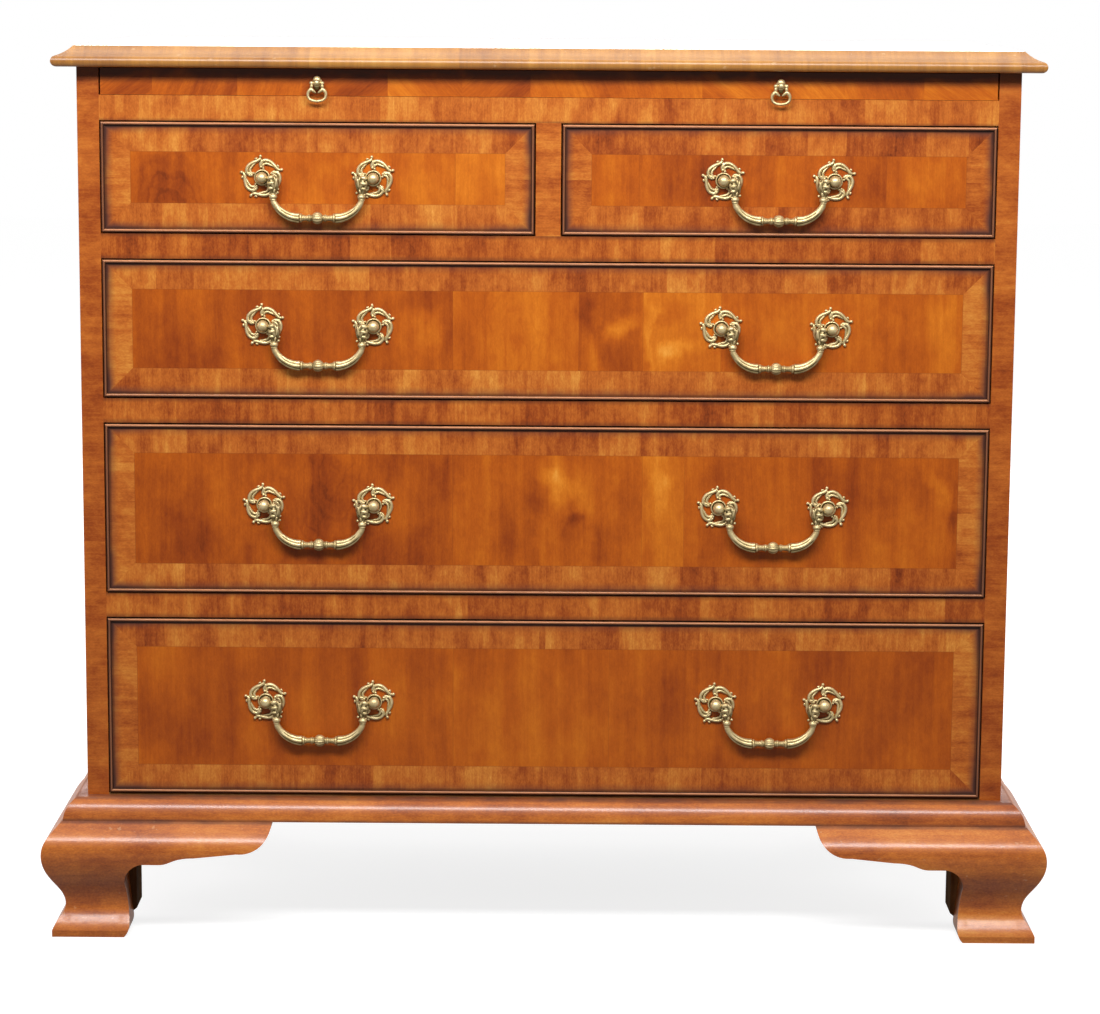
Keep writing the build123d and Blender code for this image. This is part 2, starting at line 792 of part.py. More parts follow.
def pull_post():
    """Small ball-headed post that carries a ring."""
    ball_start = pull_ball_reach - math.sqrt(pull_ball_radius**2 - pull_neck_radius**2)
    outline = face_of(
        Polyline(
            (0, -pull_ball_reach - pull_ball_radius), (0, pull_shank_length),
            (pull_shank_radius, pull_shank_length), (pull_shank_radius, 0), (pull_base_radius, 0),
            (pull_base_radius, -pull_base_thickness), (pull_neck_radius, -pull_base_thickness),
            (pull_neck_radius, -ball_start),
        ),
        ThreePointArc(
            (pull_neck_radius, -ball_start), (pull_ball_radius, -pull_ball_reach),
            (0, -pull_ball_reach - pull_ball_radius),
        ),
    )
    bore = Cylinder(ring_bar_radius + ring_bar_fit, 2 * (pull_ball_radius + overrun), rotation=(0, 90, 0))
    return revolve(outline, Axis.Y) - Pos(0, -pull_ball_reach, 0) * bore


def pull_ring():
    """Ring about its bar at the origin, hanging down: bar, end knobs, arms and open circle."""
    knob_x = pull_ball_radius + ring_knob_gap + ring_knob_radius
    bar = Cylinder(ring_bar_radius, 2 * knob_x, rotation=(0, 90, 0))
    half_gap = math.radians(ring_gap_angle / 2)
    arm_x = ring_radius * math.sin(half_gap)
    arm_z = -ring_centre_drop + ring_radius * math.cos(half_gap)
    circle = CenterArc((0, -ring_centre_drop), ring_radius, 90 + ring_gap_angle / 2, 360 - ring_gap_angle)
    path = Plane.XZ * circle
    loop = sweep(Plane(origin=path @ 0, z_dir=path % 0) * Circle(ring_wire_radius), path=path)
    arm_vector = Vector(knob_x - arm_x, 0, -arm_z)
    arm_plane = Plane(origin=(arm_x, 0, arm_z), z_dir=arm_vector)
    arm = extrude(arm_plane * Circle(ring_wire_radius), amount=arm_vector.length)
    joint = Pos(arm_x, 0, arm_z) * Sphere(ring_wire_radius)
    knob = Pos(knob_x, 0, 0) * Sphere(ring_knob_radius)
    right = arm + joint + knob
    return loop + bar + right + mirrored_x(right)


# Nodes

os.makedirs("parts", exist_ok=True)

side = left_side()
save("left_side", side)
save("right_side", mirrored_x(side))
save("bottom_board", housed_board(inside_back_y, (foot_height, lower_floor)))
save("drawer_rails", *[rail(floor) for floor in rail_floors[:-1]])
save("slide_rail", rail(short_ceiling))
save("centre_divider", centre_divider())
save("drawer_runners", *runner_set())
save("drawer_stops", *drawer_stops())
save("back_boards", *back_boards())
save("top_panel", top_panel())
save("top_moulding", *moulding_run(top_profile(), top_overhang, top_lipping_inset, (slide_ceiling, top_z)))
base_z = (foot_height, foot_height + base_moulding_height)
save("base_moulding", *moulding_run(base_profile(), base_moulding_overhang, 0, base_z))

left_front_foot = front_foot()
left_rear_foot = rear_foot()
save("front_left_foot", *left_front_foot)
save("front_right_foot", *[mirrored_x(piece) for piece in left_front_foot])
save("rear_left_foot", *left_rear_foot)
save("rear_right_foot", *[mirrored_x(piece) for piece in left_rear_foot])
save("foot_blocks", *foot_blocks())

long_x = (-inner_half, inner_half)
pair = (-handle_reach, handle_reach)
drawer("left_short", (-inner_half, -half_divider), (short_floor, short_ceiling), pair[:1], short_post_rise)
drawer("right_short", (half_divider, inner_half), (short_floor, short_ceiling), pair[1:], short_post_rise)
drawer("upper_long", long_x, (upper_floor, upper_ceiling), pair, upper_post_rise)
drawer("middle_long", long_x, (middle_floor, middle_ceiling), pair, middle_post_rise)
drawer("lower_long", long_x, (lower_floor, lower_ceiling), pair, lower_post_rise)

save("slide_board", *slide_board())
save("slide_front_edge", slide_front_edge())
one_post = pull_post()
save("slide_pull_posts", *[Pos(x, face_y, slide_middle_z) * one_post for x in pair])
one_ring = pull_ring()
for ring_side, x in zip(("left", "right"), pair):
    place = Pos(x, face_y - pull_ball_reach, slide_middle_z)
    save(f"{ring_side}_slide_ring", place * one_ring)
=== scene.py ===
import json
import logging
import math
from dataclasses import dataclass, field
from enum import Enum

import bmesh
import bpy
import numpy as np
from mathutils import Matrix, Vector

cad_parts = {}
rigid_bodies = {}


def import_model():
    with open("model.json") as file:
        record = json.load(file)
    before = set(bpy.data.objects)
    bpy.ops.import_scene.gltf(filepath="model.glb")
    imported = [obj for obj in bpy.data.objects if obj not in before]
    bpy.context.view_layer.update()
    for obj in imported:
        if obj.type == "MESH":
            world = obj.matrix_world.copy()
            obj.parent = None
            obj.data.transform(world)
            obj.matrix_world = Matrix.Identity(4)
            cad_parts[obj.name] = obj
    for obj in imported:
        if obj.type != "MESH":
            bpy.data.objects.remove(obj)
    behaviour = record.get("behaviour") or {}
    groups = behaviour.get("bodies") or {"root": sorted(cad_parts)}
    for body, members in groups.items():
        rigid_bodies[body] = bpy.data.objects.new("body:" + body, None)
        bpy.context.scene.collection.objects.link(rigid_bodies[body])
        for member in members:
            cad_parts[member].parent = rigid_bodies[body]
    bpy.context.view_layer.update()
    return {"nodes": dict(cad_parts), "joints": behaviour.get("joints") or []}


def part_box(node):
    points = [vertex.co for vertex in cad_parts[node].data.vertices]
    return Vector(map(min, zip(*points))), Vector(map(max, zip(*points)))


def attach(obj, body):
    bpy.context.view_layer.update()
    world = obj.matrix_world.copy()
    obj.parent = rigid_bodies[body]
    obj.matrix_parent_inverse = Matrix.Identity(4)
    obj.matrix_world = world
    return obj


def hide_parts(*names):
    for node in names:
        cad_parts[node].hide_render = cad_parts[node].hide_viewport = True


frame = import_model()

LOG = logging.getLogger("chest")
MM = 0.001
FULL_TURN = 2 * math.pi
Colour = tuple[float, float, float]
Point = tuple[float, float, float]
Pairs = tuple[tuple[float, float], ...]
Stops = tuple[tuple[float, Colour], ...]
Bead = tuple[Point, float, Point, float]
ORIGIN: Point = (0, 0, 0)
X_AXIS: Point = (1, 0, 0)
Y_AXIS: Point = (0, 1, 0)
Z_AXIS: Point = (0, 0, 1)


# Shader tools


class Wire:
    """A number on its way through a shader graph; arithmetic on it adds Math nodes."""

    def __init__(self, graph: "Graph", source: object) -> None:
        """Keep the graph, and the output socket or plain number."""
        self.graph = graph
        self.source = source

    def math(self, operation: str, *others: object) -> "Wire":
        """Output of a new Math node on this and the others."""
        node = self.graph.add("ShaderNodeMath", {"operation": operation}, [self, *others])
        return Wire(self.graph, node.outputs[0])

    def __add__(self, other: object) -> "Wire":
        """Sum."""
        return self.math("ADD", other)

    __radd__ = __add__

    def __sub__(self, other: object) -> "Wire":
        """Difference."""
        return self.math("SUBTRACT", other)

    def __rsub__(self, other: float) -> "Wire":
        """Difference from a number."""
        return Wire(self.graph, other).math("SUBTRACT", self)

    def __mul__(self, other: object) -> "Wire":
        """Product."""
        return self.math("MULTIPLY", other)

    __rmul__ = __mul__

    def __truediv__(self, other: object) -> "Wire":
        """Quotient."""
        return self.math("DIVIDE", other)

    def __abs__(self) -> "Wire":
        """Size without its sign."""
        return self.math("ABSOLUTE")

    def smallest(self, other: object) -> "Wire":
        """The lower of the two."""
        return self.math("MINIMUM", other)

    def largest(self, other: object) -> "Wire":
        """The higher of the two."""
        return self.math("MAXIMUM", other)

    def above(self, other: object) -> "Wire":
        """1 where this is greater than the other, else 0."""
        return self.math("GREATER_THAN", other)

    def clamped(self) -> "Wire":
        """Kept between 0 and 1."""
        return self.largest(0.0).smallest(1.0)

    def inset(self, low: float, high: float) -> "Wire":
        """Distance in from the nearer of two limits."""
        return (self - low).smallest(high - self)

    def near(self, place: float, reach: float, core: float = 0.0) -> "Wire":
        """1 within the core about a place, falling smoothly to 0 at the reach."""
        return abs(self - place).rise(reach, core)

    def rise(self, low: float, high: float) -> "Wire":
        """Smooth step.

        Args:
            low: Value at which the step is 0.
            high: Value at which the step is 1; below low, the step falls.

        Returns:
            The step between 0 and 1.
        """
        flipped = high < low
        first, last = (high, low) if flipped else (low, high)
        node = self.graph.add(
            "ShaderNodeMapRange", {"interpolation_type": "SMOOTHSTEP"},
            {"Value": self, "From Min": first, "From Max": last},
        )
        step = Wire(self.graph, node.outputs["Result"])
        return 1.0 - step if flipped else step


Place = tuple[Wire, Wire, Wire]


class Graph:
    """The node tree of one material or world, with short calls for what the finishes need."""

    def __init__(self, tree: bpy.types.NodeTree) -> None:
        """Keep the tree, emptied."""
        self.tree = tree
        tree.nodes.clear()

    def add(self, kind: str, settings: dict | None = None,
            values: dict | list | None = None) -> bpy.types.Node:
        """Add a node of any kind.

        Args:
            kind: Blender's name of the node type.
            settings: Attributes to set first; "stops" fills a colour ramp.
            values: Inputs by name or place: wires, sockets, nodes for their first output, or values.

        Returns:
            The new node.
        """
        node = self.tree.nodes.new(kind)
        for name, value in (settings or {}).items():
            if name == "stops":
                self._fill_ramp(node.color_ramp, value)
            else:
                setattr(node, name, value)
        pairs = values.items() if isinstance(values, dict) else enumerate(values or [])
        for key, value in pairs:
            source = value.source if isinstance(value, Wire) else value
            if isinstance(source, bpy.types.Node):
                source = source.outputs[0]
            if isinstance(source, bpy.types.NodeSocket):
                self.tree.links.new(source, node.inputs[key])
            else:
                node.inputs[key].default_value = source
        return node

    @staticmethod
    def _fill_ramp(ramp: bpy.types.ColorRamp, stops: Stops) -> None:
        """Give a ramp its stops.

        Args:
            ramp: The ramp, as it comes with two stops.
            stops: Places and colours, in rising order.
        """
        while len(ramp.elements) < len(stops):
            ramp.elements.new(0.5)
        for element, (place, colour) in zip(ramp.elements, stops):
            element.position = place
            element.color = (*colour, 1.0)

    def wire(self, source: object) -> Wire:
        """A socket or number with arithmetic."""
        return Wire(self, source)

    def split(self, vector: bpy.types.NodeSocket) -> Place:
        """The three parts of a vector socket."""
        return tuple(self.wire(part) for part in self.add("ShaderNodeSeparateXYZ", None, [vector]).outputs)

    def place(self) -> Place:
        """X, Y and Z on the object, in metres."""
        return self.split(self.add("ShaderNodeTexCoord").outputs["Object"])

    def facing(self) -> Place:
        """X, Y and Z of the surface's own normal."""
        return self.split(self.add("ShaderNodeTexCoord").outputs["Normal"])

    def noise(self, x: object, y: object, z: object, detail: float = 2.0, rough: float = 0.5) -> Wire:
        """Soft noise about 0.5.

        Args:
            x: First coordinate, already multiplied by its rate.
            y: Second coordinate.
            z: Third coordinate.
            detail: How many finer layers are added.
            rough: How strong the finer layers are.

        Returns:
            Value between 0 and 1.
        """
        at = self.add("ShaderNodeCombineXYZ", None, [x, y, z])
        return self.wire(self.add(
            "ShaderNodeTexNoise", None, {"Vector": at, "Scale": 1.0, "Detail": detail, "Roughness": rough}
        ).outputs[0])

    def spots(self, place: Place, rate: float, detail: float = 2.0, rough: float = 0.5) -> Wire:
        """Soft noise with one rate in all directions."""
        return self.noise(*(part * rate for part in place), detail, rough)

    def chance(self, value: Wire) -> Wire:
        """One random number for each whole step of the value."""
        node = self.add("ShaderNodeTexWhiteNoise", {"noise_dimensions": "1D"}, {"W": value.math("FLOOR")})
        return self.wire(node.outputs["Value"])

    def lengths(self, value: Wire) -> Wire:
        """One random number for each of a row of cells of unequal length.

        Args:
            value: Place along the row, where a cell is about 1 long.

        Returns:
            Value about 0.
        """
        cells = self.add("ShaderNodeTexVoronoi", {"voronoi_dimensions": "1D"},
                         {"W": value, "Scale": 1.0, "Randomness": 0.9})
        parts = self.add("ShaderNodeSeparateColor", None, [cells.outputs["Color"]])
        return self.wire(parts.outputs[0]) - 0.5

    def mix(self, share: object, first: object, second: object, blend: str = "MIX") -> bpy.types.NodeSocket:
        """Blend two colours.

        Args:
            share: How much of the second shows; it is clamped.
            first: Colour socket or three numbers.
            second: Colour socket or three numbers.
            blend: Blend type.

        Returns:
            The blended colour.
        """
        whole = [(*c, 1.0) if isinstance(c, tuple) else c for c in (first, second)]
        node = self.add(
            "ShaderNodeMix", {"data_type": "RGBA", "blend_type": blend, "clamp_factor": True},
            {0: share, 6: whole[0], 7: whole[1]},
        )
        return node.outputs[2]

    def grey(self, value: Wire) -> bpy.types.NodeSocket:
        """A number as an even colour, to darken with."""
        return self.add("ShaderNodeCombineColor", None, [value, value, value]).outputs[0]

    def surface(self, values: dict, bump: float, depth: float, height: Wire) -> None:
        """End a material with its shader over a bump.

        Args:
            values: The shader's inputs by name.
            bump: Strength of the bump.
            depth: Its depth, in metres.
            height: Value that it follows.
        """
        normal = self.add("ShaderNodeBump", None, {"Strength": bump, "Distance": depth, "Height": height})
        shader = self.add("ShaderNodeBsdfPrincipled", None, {**values, "Normal": normal})
        self.add("ShaderNodeOutputMaterial", None, {"Surface": shader})


class MitredBand:
    """A crossband round a flat face, mitred at its corners.

    The band is where the nearest edge is closer than its width, and it is upright where that edge
    is a side. Its grain, along, runs at right angles to that edge.
    """

    def __init__(self, u: Wire, v: Wire, low: tuple[float, float], high: tuple[float, float],
                 width: float) -> None:
        """Lay the band out.

        Args:
            u: Place to the right on the face.
            v: Place up on the face.
            low: The face's lower limits of both.
            high: Its upper limits.
            width: The band's width.
        """
        self.near_u, self.near_v = u.inset(low[0], high[0]), v.inset(low[1], high[1])
        self.nearest = self.near_u.smallest(self.near_v)
        self.band = 1.0 - self.nearest.above(width)
        self.upright = self.band * self.near_v.above(self.near_u)
        self.lying = self.band - self.upright
        self.along = self.lying * v + self.upright * u
        self.across = self.lying * u + self.upright * v


@dataclass(frozen=True)
class Polish:
    """Surface of a finished piece: gloss values that are the same all over."""

    roughness: float = 0.38
    rough_change: float = 0.12
    specular: float = 0.16
    coat: float = 0.12
    coat_roughness: float = 0.2
    bump: float = 0.3
    bump_depth: float = 0.00012
    dust_roughness: float = 0.4

    def close(self, graph: Graph, colour: object, unevenness: Wire, height: Wire,
              dust: Wire | None = None) -> None:
        """End a material with its shader.

        Args:
            graph: The material's graph.
            colour: Base colour socket.
            unevenness: Value about 0.5 that changes the roughness.
            height: Value that the bump follows.
            dust: 1 where dust hides the shine, if there is any.
        """
        rough = (unevenness - 0.5) * self.rough_change + self.roughness
        coat = self.coat
        if dust is not None:
            rough = rough + dust * self.dust_roughness
            coat = (1.0 - dust) * self.coat
        graph.surface({
            "Base Color": colour, "Roughness": rough.clamped(), "Specular IOR Level": self.specular,
            "Coat Weight": coat, "Coat Roughness": self.coat_roughness,
        }, self.bump, self.bump_depth, height)


# Timber


@dataclass(frozen=True)
class Figure:
    """How strongly each marking of a timber shows, with rates per metre."""

    drift: float = 0.014
    band_rate: float = 60.0
    bands: float = 0.34
    streak_rate: float = 420.0
    streaks: float = 0.20
    cloud_rate: float = 13.0
    clouds: float = 0.50
    pores: float = 0.22
    mottle: float = 0.26
    fleck: float = 0.20
    run_rate: float = 5.0


@dataclass(frozen=True)
class Timber:
    """A timber's colours from its darkest marking to its palest, and its figure."""

    stops: Stops
    figure: Figure = Figure()
    pore: float = 0.55

    def markings(self, graph: Graph, along: Wire, across: Wire, depth: Wire) -> tuple[Wire, Wire]:
        """Grain of a cut of wood.

        The sideways place wanders with slow noise; on it lie growth bands, fine streaks and short
        pores, each a noise drawn out along the grain, and over all lie smoky clouds.

        Args:
            graph: Graph to add to.
            along: Place along the grain, in metres.
            across: Place across the grain.
            depth: Place into the wood, with the piece's own offset.

        Returns:
            Tone, about 0.5, and pores, 1 where there is one.
        """
        f, noise = self.figure, graph.noise
        wander = noise(along * f.run_rate, across * 9.0, depth * 3.0, 1.0)
        drifted = across + (wander - 0.5) * f.drift
        bands = noise(along * (f.run_rate * 0.35), drifted * f.band_rate, depth * 2.0, 3.0, 0.62)
        streaks = noise(along * (f.run_rate * 4.0), drifted * f.streak_rate, depth, 2.0, 0.7)
        clouds = noise(along * f.cloud_rate, drifted * (f.cloud_rate * 1.5), depth * 2.0 + 7.0, 3.0, 0.6)
        mottle = noise(along * 120.0, drifted * 240.0, depth + 3.0, 2.0, 0.6)
        fleck = noise(along * 420.0, drifted * 820.0, depth + 5.0, 1.0)
        pores = noise(along * 160.0, drifted * 2600.0, depth, 1.0).rise(0.62, 0.74)
        tone = graph.wire(0.5)
        for marking, strength in ((bands, f.bands * 2.0), (streaks, f.streaks), (clouds, f.clouds * 2.0),
                                  (mottle, f.mottle), (fleck, f.fleck)):
            tone = tone + (marking - 0.5) * strength
        return tone, pores * f.pores

    def colour(self, graph: Graph, tone: Wire, pores: Wire) -> bpy.types.NodeSocket:
        """Colour of the wood.

        Args:
            graph: Graph to add to.
            tone: 0 for the darkest marking, 1 for the palest.
            pores: 1 where a pore is.

        Returns:
            Colour socket.
        """
        base = graph.add("ShaderNodeValToRGB", {"stops": self.stops}, [tone.clamped()])
        shade = graph.grey(1.0 - pores * self.pore)
        return graph.mix(1.0, base, shade, "MULTIPLY")


WALNUT_STOPS: Stops = (
    (0.00, (0.150, 0.024, 0.004)), (0.22, (0.320, 0.055, 0.006)), (0.48, (0.520, 0.110, 0.008)),
    (0.70, (0.670, 0.178, 0.012)), (0.86, (0.800, 0.255, 0.022)), (1.00, (0.900, 0.370, 0.055)),
)
CROSSBAND_STOPS: Stops = (
    (0.00, (0.180, 0.030, 0.006)), (0.24, (0.360, 0.071, 0.011)), (0.50, (0.560, 0.146, 0.021)),
    (0.72, (0.690, 0.240, 0.038)), (0.88, (0.790, 0.330, 0.060)), (1.00, (0.860, 0.420, 0.095)),
)
GOLDEN_STOPS: Stops = (
    (0.00, (0.160, 0.046, 0.010)), (0.30, (0.325, 0.122, 0.022)), (0.60, (0.485, 0.205, 0.032)),
    (0.85, (0.595, 0.292, 0.060)), (1.00, (0.690, 0.380, 0.100)),
)
RUSSET_STOPS: Stops = (
    (0.00, (0.150, 0.028, 0.005)), (0.30, (0.400, 0.088, 0.011)), (0.60, (0.630, 0.176, 0.022)),
    (0.85, (0.760, 0.275, 0.045)), (1.00, (0.840, 0.370, 0.085)),
)
OAK_STOPS: Stops = (
    (0.00, (0.200, 0.088, 0.030)), (0.40, (0.390, 0.200, 0.078)), (0.70, (0.520, 0.292, 0.126)),
    (1.00, (0.640, 0.400, 0.195)),
)
PINE_STOPS: Stops = (
    (0.00, (0.100, 0.042, 0.014)), (0.40, (0.230, 0.108, 0.036)), (0.70, (0.345, 0.176, 0.064)),
    (1.00, (0.460, 0.262, 0.108)),
)

VENEER = Timber(WALNUT_STOPS)
CROSSBAND = Timber(CROSSBAND_STOPS, Figure(drift=0.004, band_rate=90.0, bands=0.24, clouds=0.46,
                                           cloud_rate=28.0, streaks=0.34, mottle=0.34, fleck=0.34))
MOULDED = Timber(GOLDEN_STOPS, Figure(drift=0.005, band_rate=110.0, bands=0.28, clouds=0.30, cloud_rate=24.0))
BRACKET = Timber(RUSSET_STOPS, Figure(drift=0.024, band_rate=70.0, bands=0.34, clouds=0.50,
                                      cloud_rate=12.0, mottle=0.40, fleck=0.40, pores=0.45))
OAK = Timber(OAK_STOPS, Figure(drift=0.006, band_rate=150.0, bands=0.55, streaks=0.4, clouds=0.5, pores=0.8))
PINE = Timber(PINE_STOPS, Figure(drift=0.012, band_rate=60.0, bands=0.9, streaks=0.4, clouds=0.6, pores=0.5))

FRENCH_POLISH = Polish()
MOULD_POLISH = Polish(roughness=0.34, coat=0.85, coat_roughness=0.32, specular=0.22)
FOOT_POLISH = Polish(roughness=0.36, coat=0.70, coat_roughness=0.19, specular=0.18)
BEAD_POLISH = Polish(roughness=0.36, specular=0.2)
WAXED = Polish(roughness=0.62, coat=0.0, specular=0.25, bump=0.5)
BARE = Polish(roughness=0.85, coat=0.0, specular=0.15, bump=0.8)

WOOD_HEIGHT = 0.6
SEAM_COLOUR: Colour = (0.100, 0.030, 0.010)


class Run(Enum):
    """Which way a board's grain runs."""

    X = 0
    Y = 1
    Z = 2


# Finishes


@dataclass(frozen=True)
class Finish:
    """A named material; each kind of finish paints its own graph."""

    name: str

    def material(self) -> bpy.types.Material:
        """Build the finish.

        Returns:
            The material.
        """
        material = bpy.data.materials.new(self.name)
        material.use_nodes = True
        self._paint(Graph(material.node_tree))
        return material

    def _paint(self, g: Graph) -> None:
        """Fill the material's empty graph."""
        raise NotImplementedError


@dataclass(frozen=True)
class Flame:
    """A smoky cloud in a leaf of veneer: its middle, half sizes, strength and lean.

    A strength below 0 makes it golden. Arches are fine dark lines that follow its outline.
    """

    x: float
    z: float
    half_width: float
    half_height: float
    strength: float
    lean: float = 0.0
    arches: float = 0.0

    def shade(self, x: Wire, z: Wire) -> Wire:
        """Change of tone by the cloud.

        An oval fades out from its middle; the places that come in are already moved by noise.

        Args:
            x: Place to the right, moved by noise.
            z: Place up, moved by noise.

        Returns:
            Amount to take off the tone.
        """
        u = (x - self.x - (z - self.z) * self.lean) / self.half_width
        v = (z - self.z) / self.half_height
        reach = (u * u + v * v).math("SQRT")
        cloud = reach.rise(1.5, 0.1) * self.strength
        if self.arches:
            lines = (reach * 15.0).math("SINE").rise(0.35, 1.0)
            cloud = cloud + lines * reach.rise(2.4, 1.2) * self.arches
        return cloud


@dataclass(frozen=True)
class DrawerFrontFinish(Finish):
    """Leaves of figured veneer inside a mitred crossband, with grime and painted shade beside the cock bead and a
    painted shadow line along it.
    """

    low: Vector
    high: Vector
    seed: float
    tone: float
    figure: float
    joints: tuple[float, ...]
    leaf_tones: tuple[float, ...]
    flames: tuple[Flame, ...]
    band_width: float = 0.0269
    bead_width: float = 0.0032
    # Beside the bead: a dark fade of grime with painted shade, and a near-black painted shadow line.
    grime_and_shade_reach: float = 0.0095
    bead_shadow_reach: float = 0.0030
    segment_rate: float = 26.0
    grime_and_shade_colour: Colour = (0.125, 0.042, 0.028)
    line_colour: Colour = (0.022, 0.008, 0.005)

    def _paint(self, g: Graph) -> None:
        """Leaves and crossband, then grime with painted shade, a painted shadow line beside the bead and seams, and
        bare pine on all but the face.

        Args:
            g: The material's graph.
        """
        low, high = self.low, self.high
        x, y, z = g.place()
        edge = MitredBand(x, z, (low.x, low.z), (high.x, high.z), self.band_width)
        field_area = 1.0 - edge.band
        upper = z.above((low.z + high.z) / 2)

        leaf, leaf_tone = g.wire(0.0), g.wire(self.leaf_tones[0])
        for joint, before, after in zip(self.joints, self.leaf_tones, self.leaf_tones[1:]):
            past = x.above(joint)
            leaf = leaf + past
            leaf_tone = leaf_tone + past * (after - before)
        side = x.above((low.x + high.x) / 2) + upper * 2.0
        depth = leaf * (field_area * 0.83) + edge.band * (side * 1.7 + 3.0) + self.seed

        field_tone, field_pores = VENEER.markings(g, z, x, depth)
        field_tone = (field_tone - 0.5) * self.figure + 0.5 + leaf_tone + self.tone
        moved_x = x + (g.noise(x * 42.0, z * 30.0, self.seed, 3.0, 0.55) - 0.5) * 0.036
        moved_z = z + (g.noise(x * 36.0, z * 30.0, self.seed + 4.0, 3.0, 0.55) - 0.5) * 0.040
        for flame in self.flames:
            field_tone = field_tone - flame.shade(moved_x, moved_z)

        band_tone, band_pores = CROSSBAND.markings(g, edge.along, edge.across, depth)
        segment = g.lengths(edge.across * self.segment_rate + side * 17.0 + self.seed)
        segment = segment * (edge.lying * 0.27 + edge.upright * 0.08)
        band_tone = band_tone + segment + edge.upright * 0.06 + self.tone
        colour = g.mix(edge.band, VENEER.colour(g, field_tone, field_pores),
                       CROSSBAND.colour(g, band_tone, band_pores))
        pores = field_area * field_pores + edge.band * band_pores

        seam = edge.nearest.near(self.band_width, 0.0007, 0.0001) * 0.18
        for joint in self.joints:
            seam = seam + x.near(joint, 0.0006, 0.0001) * (field_area * 0.15)
        from_bead = edge.nearest - self.bead_width
        # Painted shade: the fade is deeper towards the corners.
        corner_shade = (edge.near_u + edge.near_v).rise(0.060, 0.012)
        smudge = g.noise(x * 45.0, z * 45.0, self.seed)
        # Painted shadow of the bead on the face, strongest under the top bead.
        line = from_bead.rise(self.bead_shadow_reach, self.bead_shadow_reach * 0.3) * (edge.lying * upper * 0.35 + 0.50)
        # Grime with painted shade, fading in from the bead.
        grime_and_shade = from_bead.rise(self.grime_and_shade_reach, 0.0) * (smudge * 0.7 + 0.18 + corner_shade * 0.50)
        for share, shown in ((grime_and_shade, self.grime_and_shade_colour), (line, self.line_colour), (seam, SEAM_COLOUR)):
            colour = g.mix(share, colour, shown)
        inside = g.noise(x * 4.0, (y + z) * 160.0, self.seed, 3.0, 0.6)
        colour = g.mix(g.facing()[1].rise(-0.3, -0.7), PINE.colour(g, inside, g.wire(0.0)), colour)
        FRENCH_POLISH.close(g, colour, smudge, WOOD_HEIGHT - pores - seam * 0.5)


@dataclass(frozen=True)
class BandedFinish(Finish):
    """Cross-grained veneer laid in short pieces along a rail, upright or edge."""

    length: Run
    grain: Run
    seed: float
    tone: float = 0.0
    tone_up: float = 0.0
    segment_rate: float = 27.0
    segment: float = 0.26
    slant: float = 0.0
    # Grime with painted shade: dark bands at given heights, painted shadow under beads and the top moulding, with
    # dirt.
    grime_and_shade: float = 1.0
    grime_and_shade_heights: tuple[float, ...] = ()
    grime_and_shade_reach: float = 0.005
    grime_and_shade_colour: Colour = (0.100, 0.030, 0.014)
    middle_height: float = 0.45
    timber: Timber = CROSSBAND

    def _paint(self, g: Graph) -> None:
        """Pieces told apart by tone and slant, with grime and painted shade at given heights but not on faces turned
        up or down.

        Args:
            g: The material's graph.
        """
        place = g.place()
        along, across = place[self.grain.value], place[self.length.value]
        rest = place[3 - self.grain.value - self.length.value]
        rows_per_metre, first_row = (9.0, 0.33) if self.length is Run.X else (0.0, 0.0)
        row = (place[2] * rows_per_metre + first_row).math("FLOOR")
        piece = g.lengths(across * self.segment_rate + row * 7.3 + self.seed)
        leaning = across + along * piece * self.slant
        tone, pores = self.timber.markings(g, along, leaning, rest + row * 0.9 + self.seed)
        tone = tone + piece * self.segment + (place[2] - self.middle_height) * self.tone_up + self.tone
        smudge = g.spots(place, 40.0)
        # Painted shadow at the given heights, mixed with dirt.
        grime_and_shade = g.wire(0.0)
        for height in self.grime_and_shade_heights:
            grime_and_shade = grime_and_shade + place[2].near(height, self.grime_and_shade_reach) * (smudge * 0.8 + 0.15)
        grime_and_shade = grime_and_shade * (abs(g.facing()[2]).rise(0.8, 0.4) * self.grime_and_shade)
        colour = g.mix(grime_and_shade, self.timber.colour(g, tone, pores), self.grime_and_shade_colour)
        FRENCH_POLISH.close(g, colour, smudge, WOOD_HEIGHT - pores)


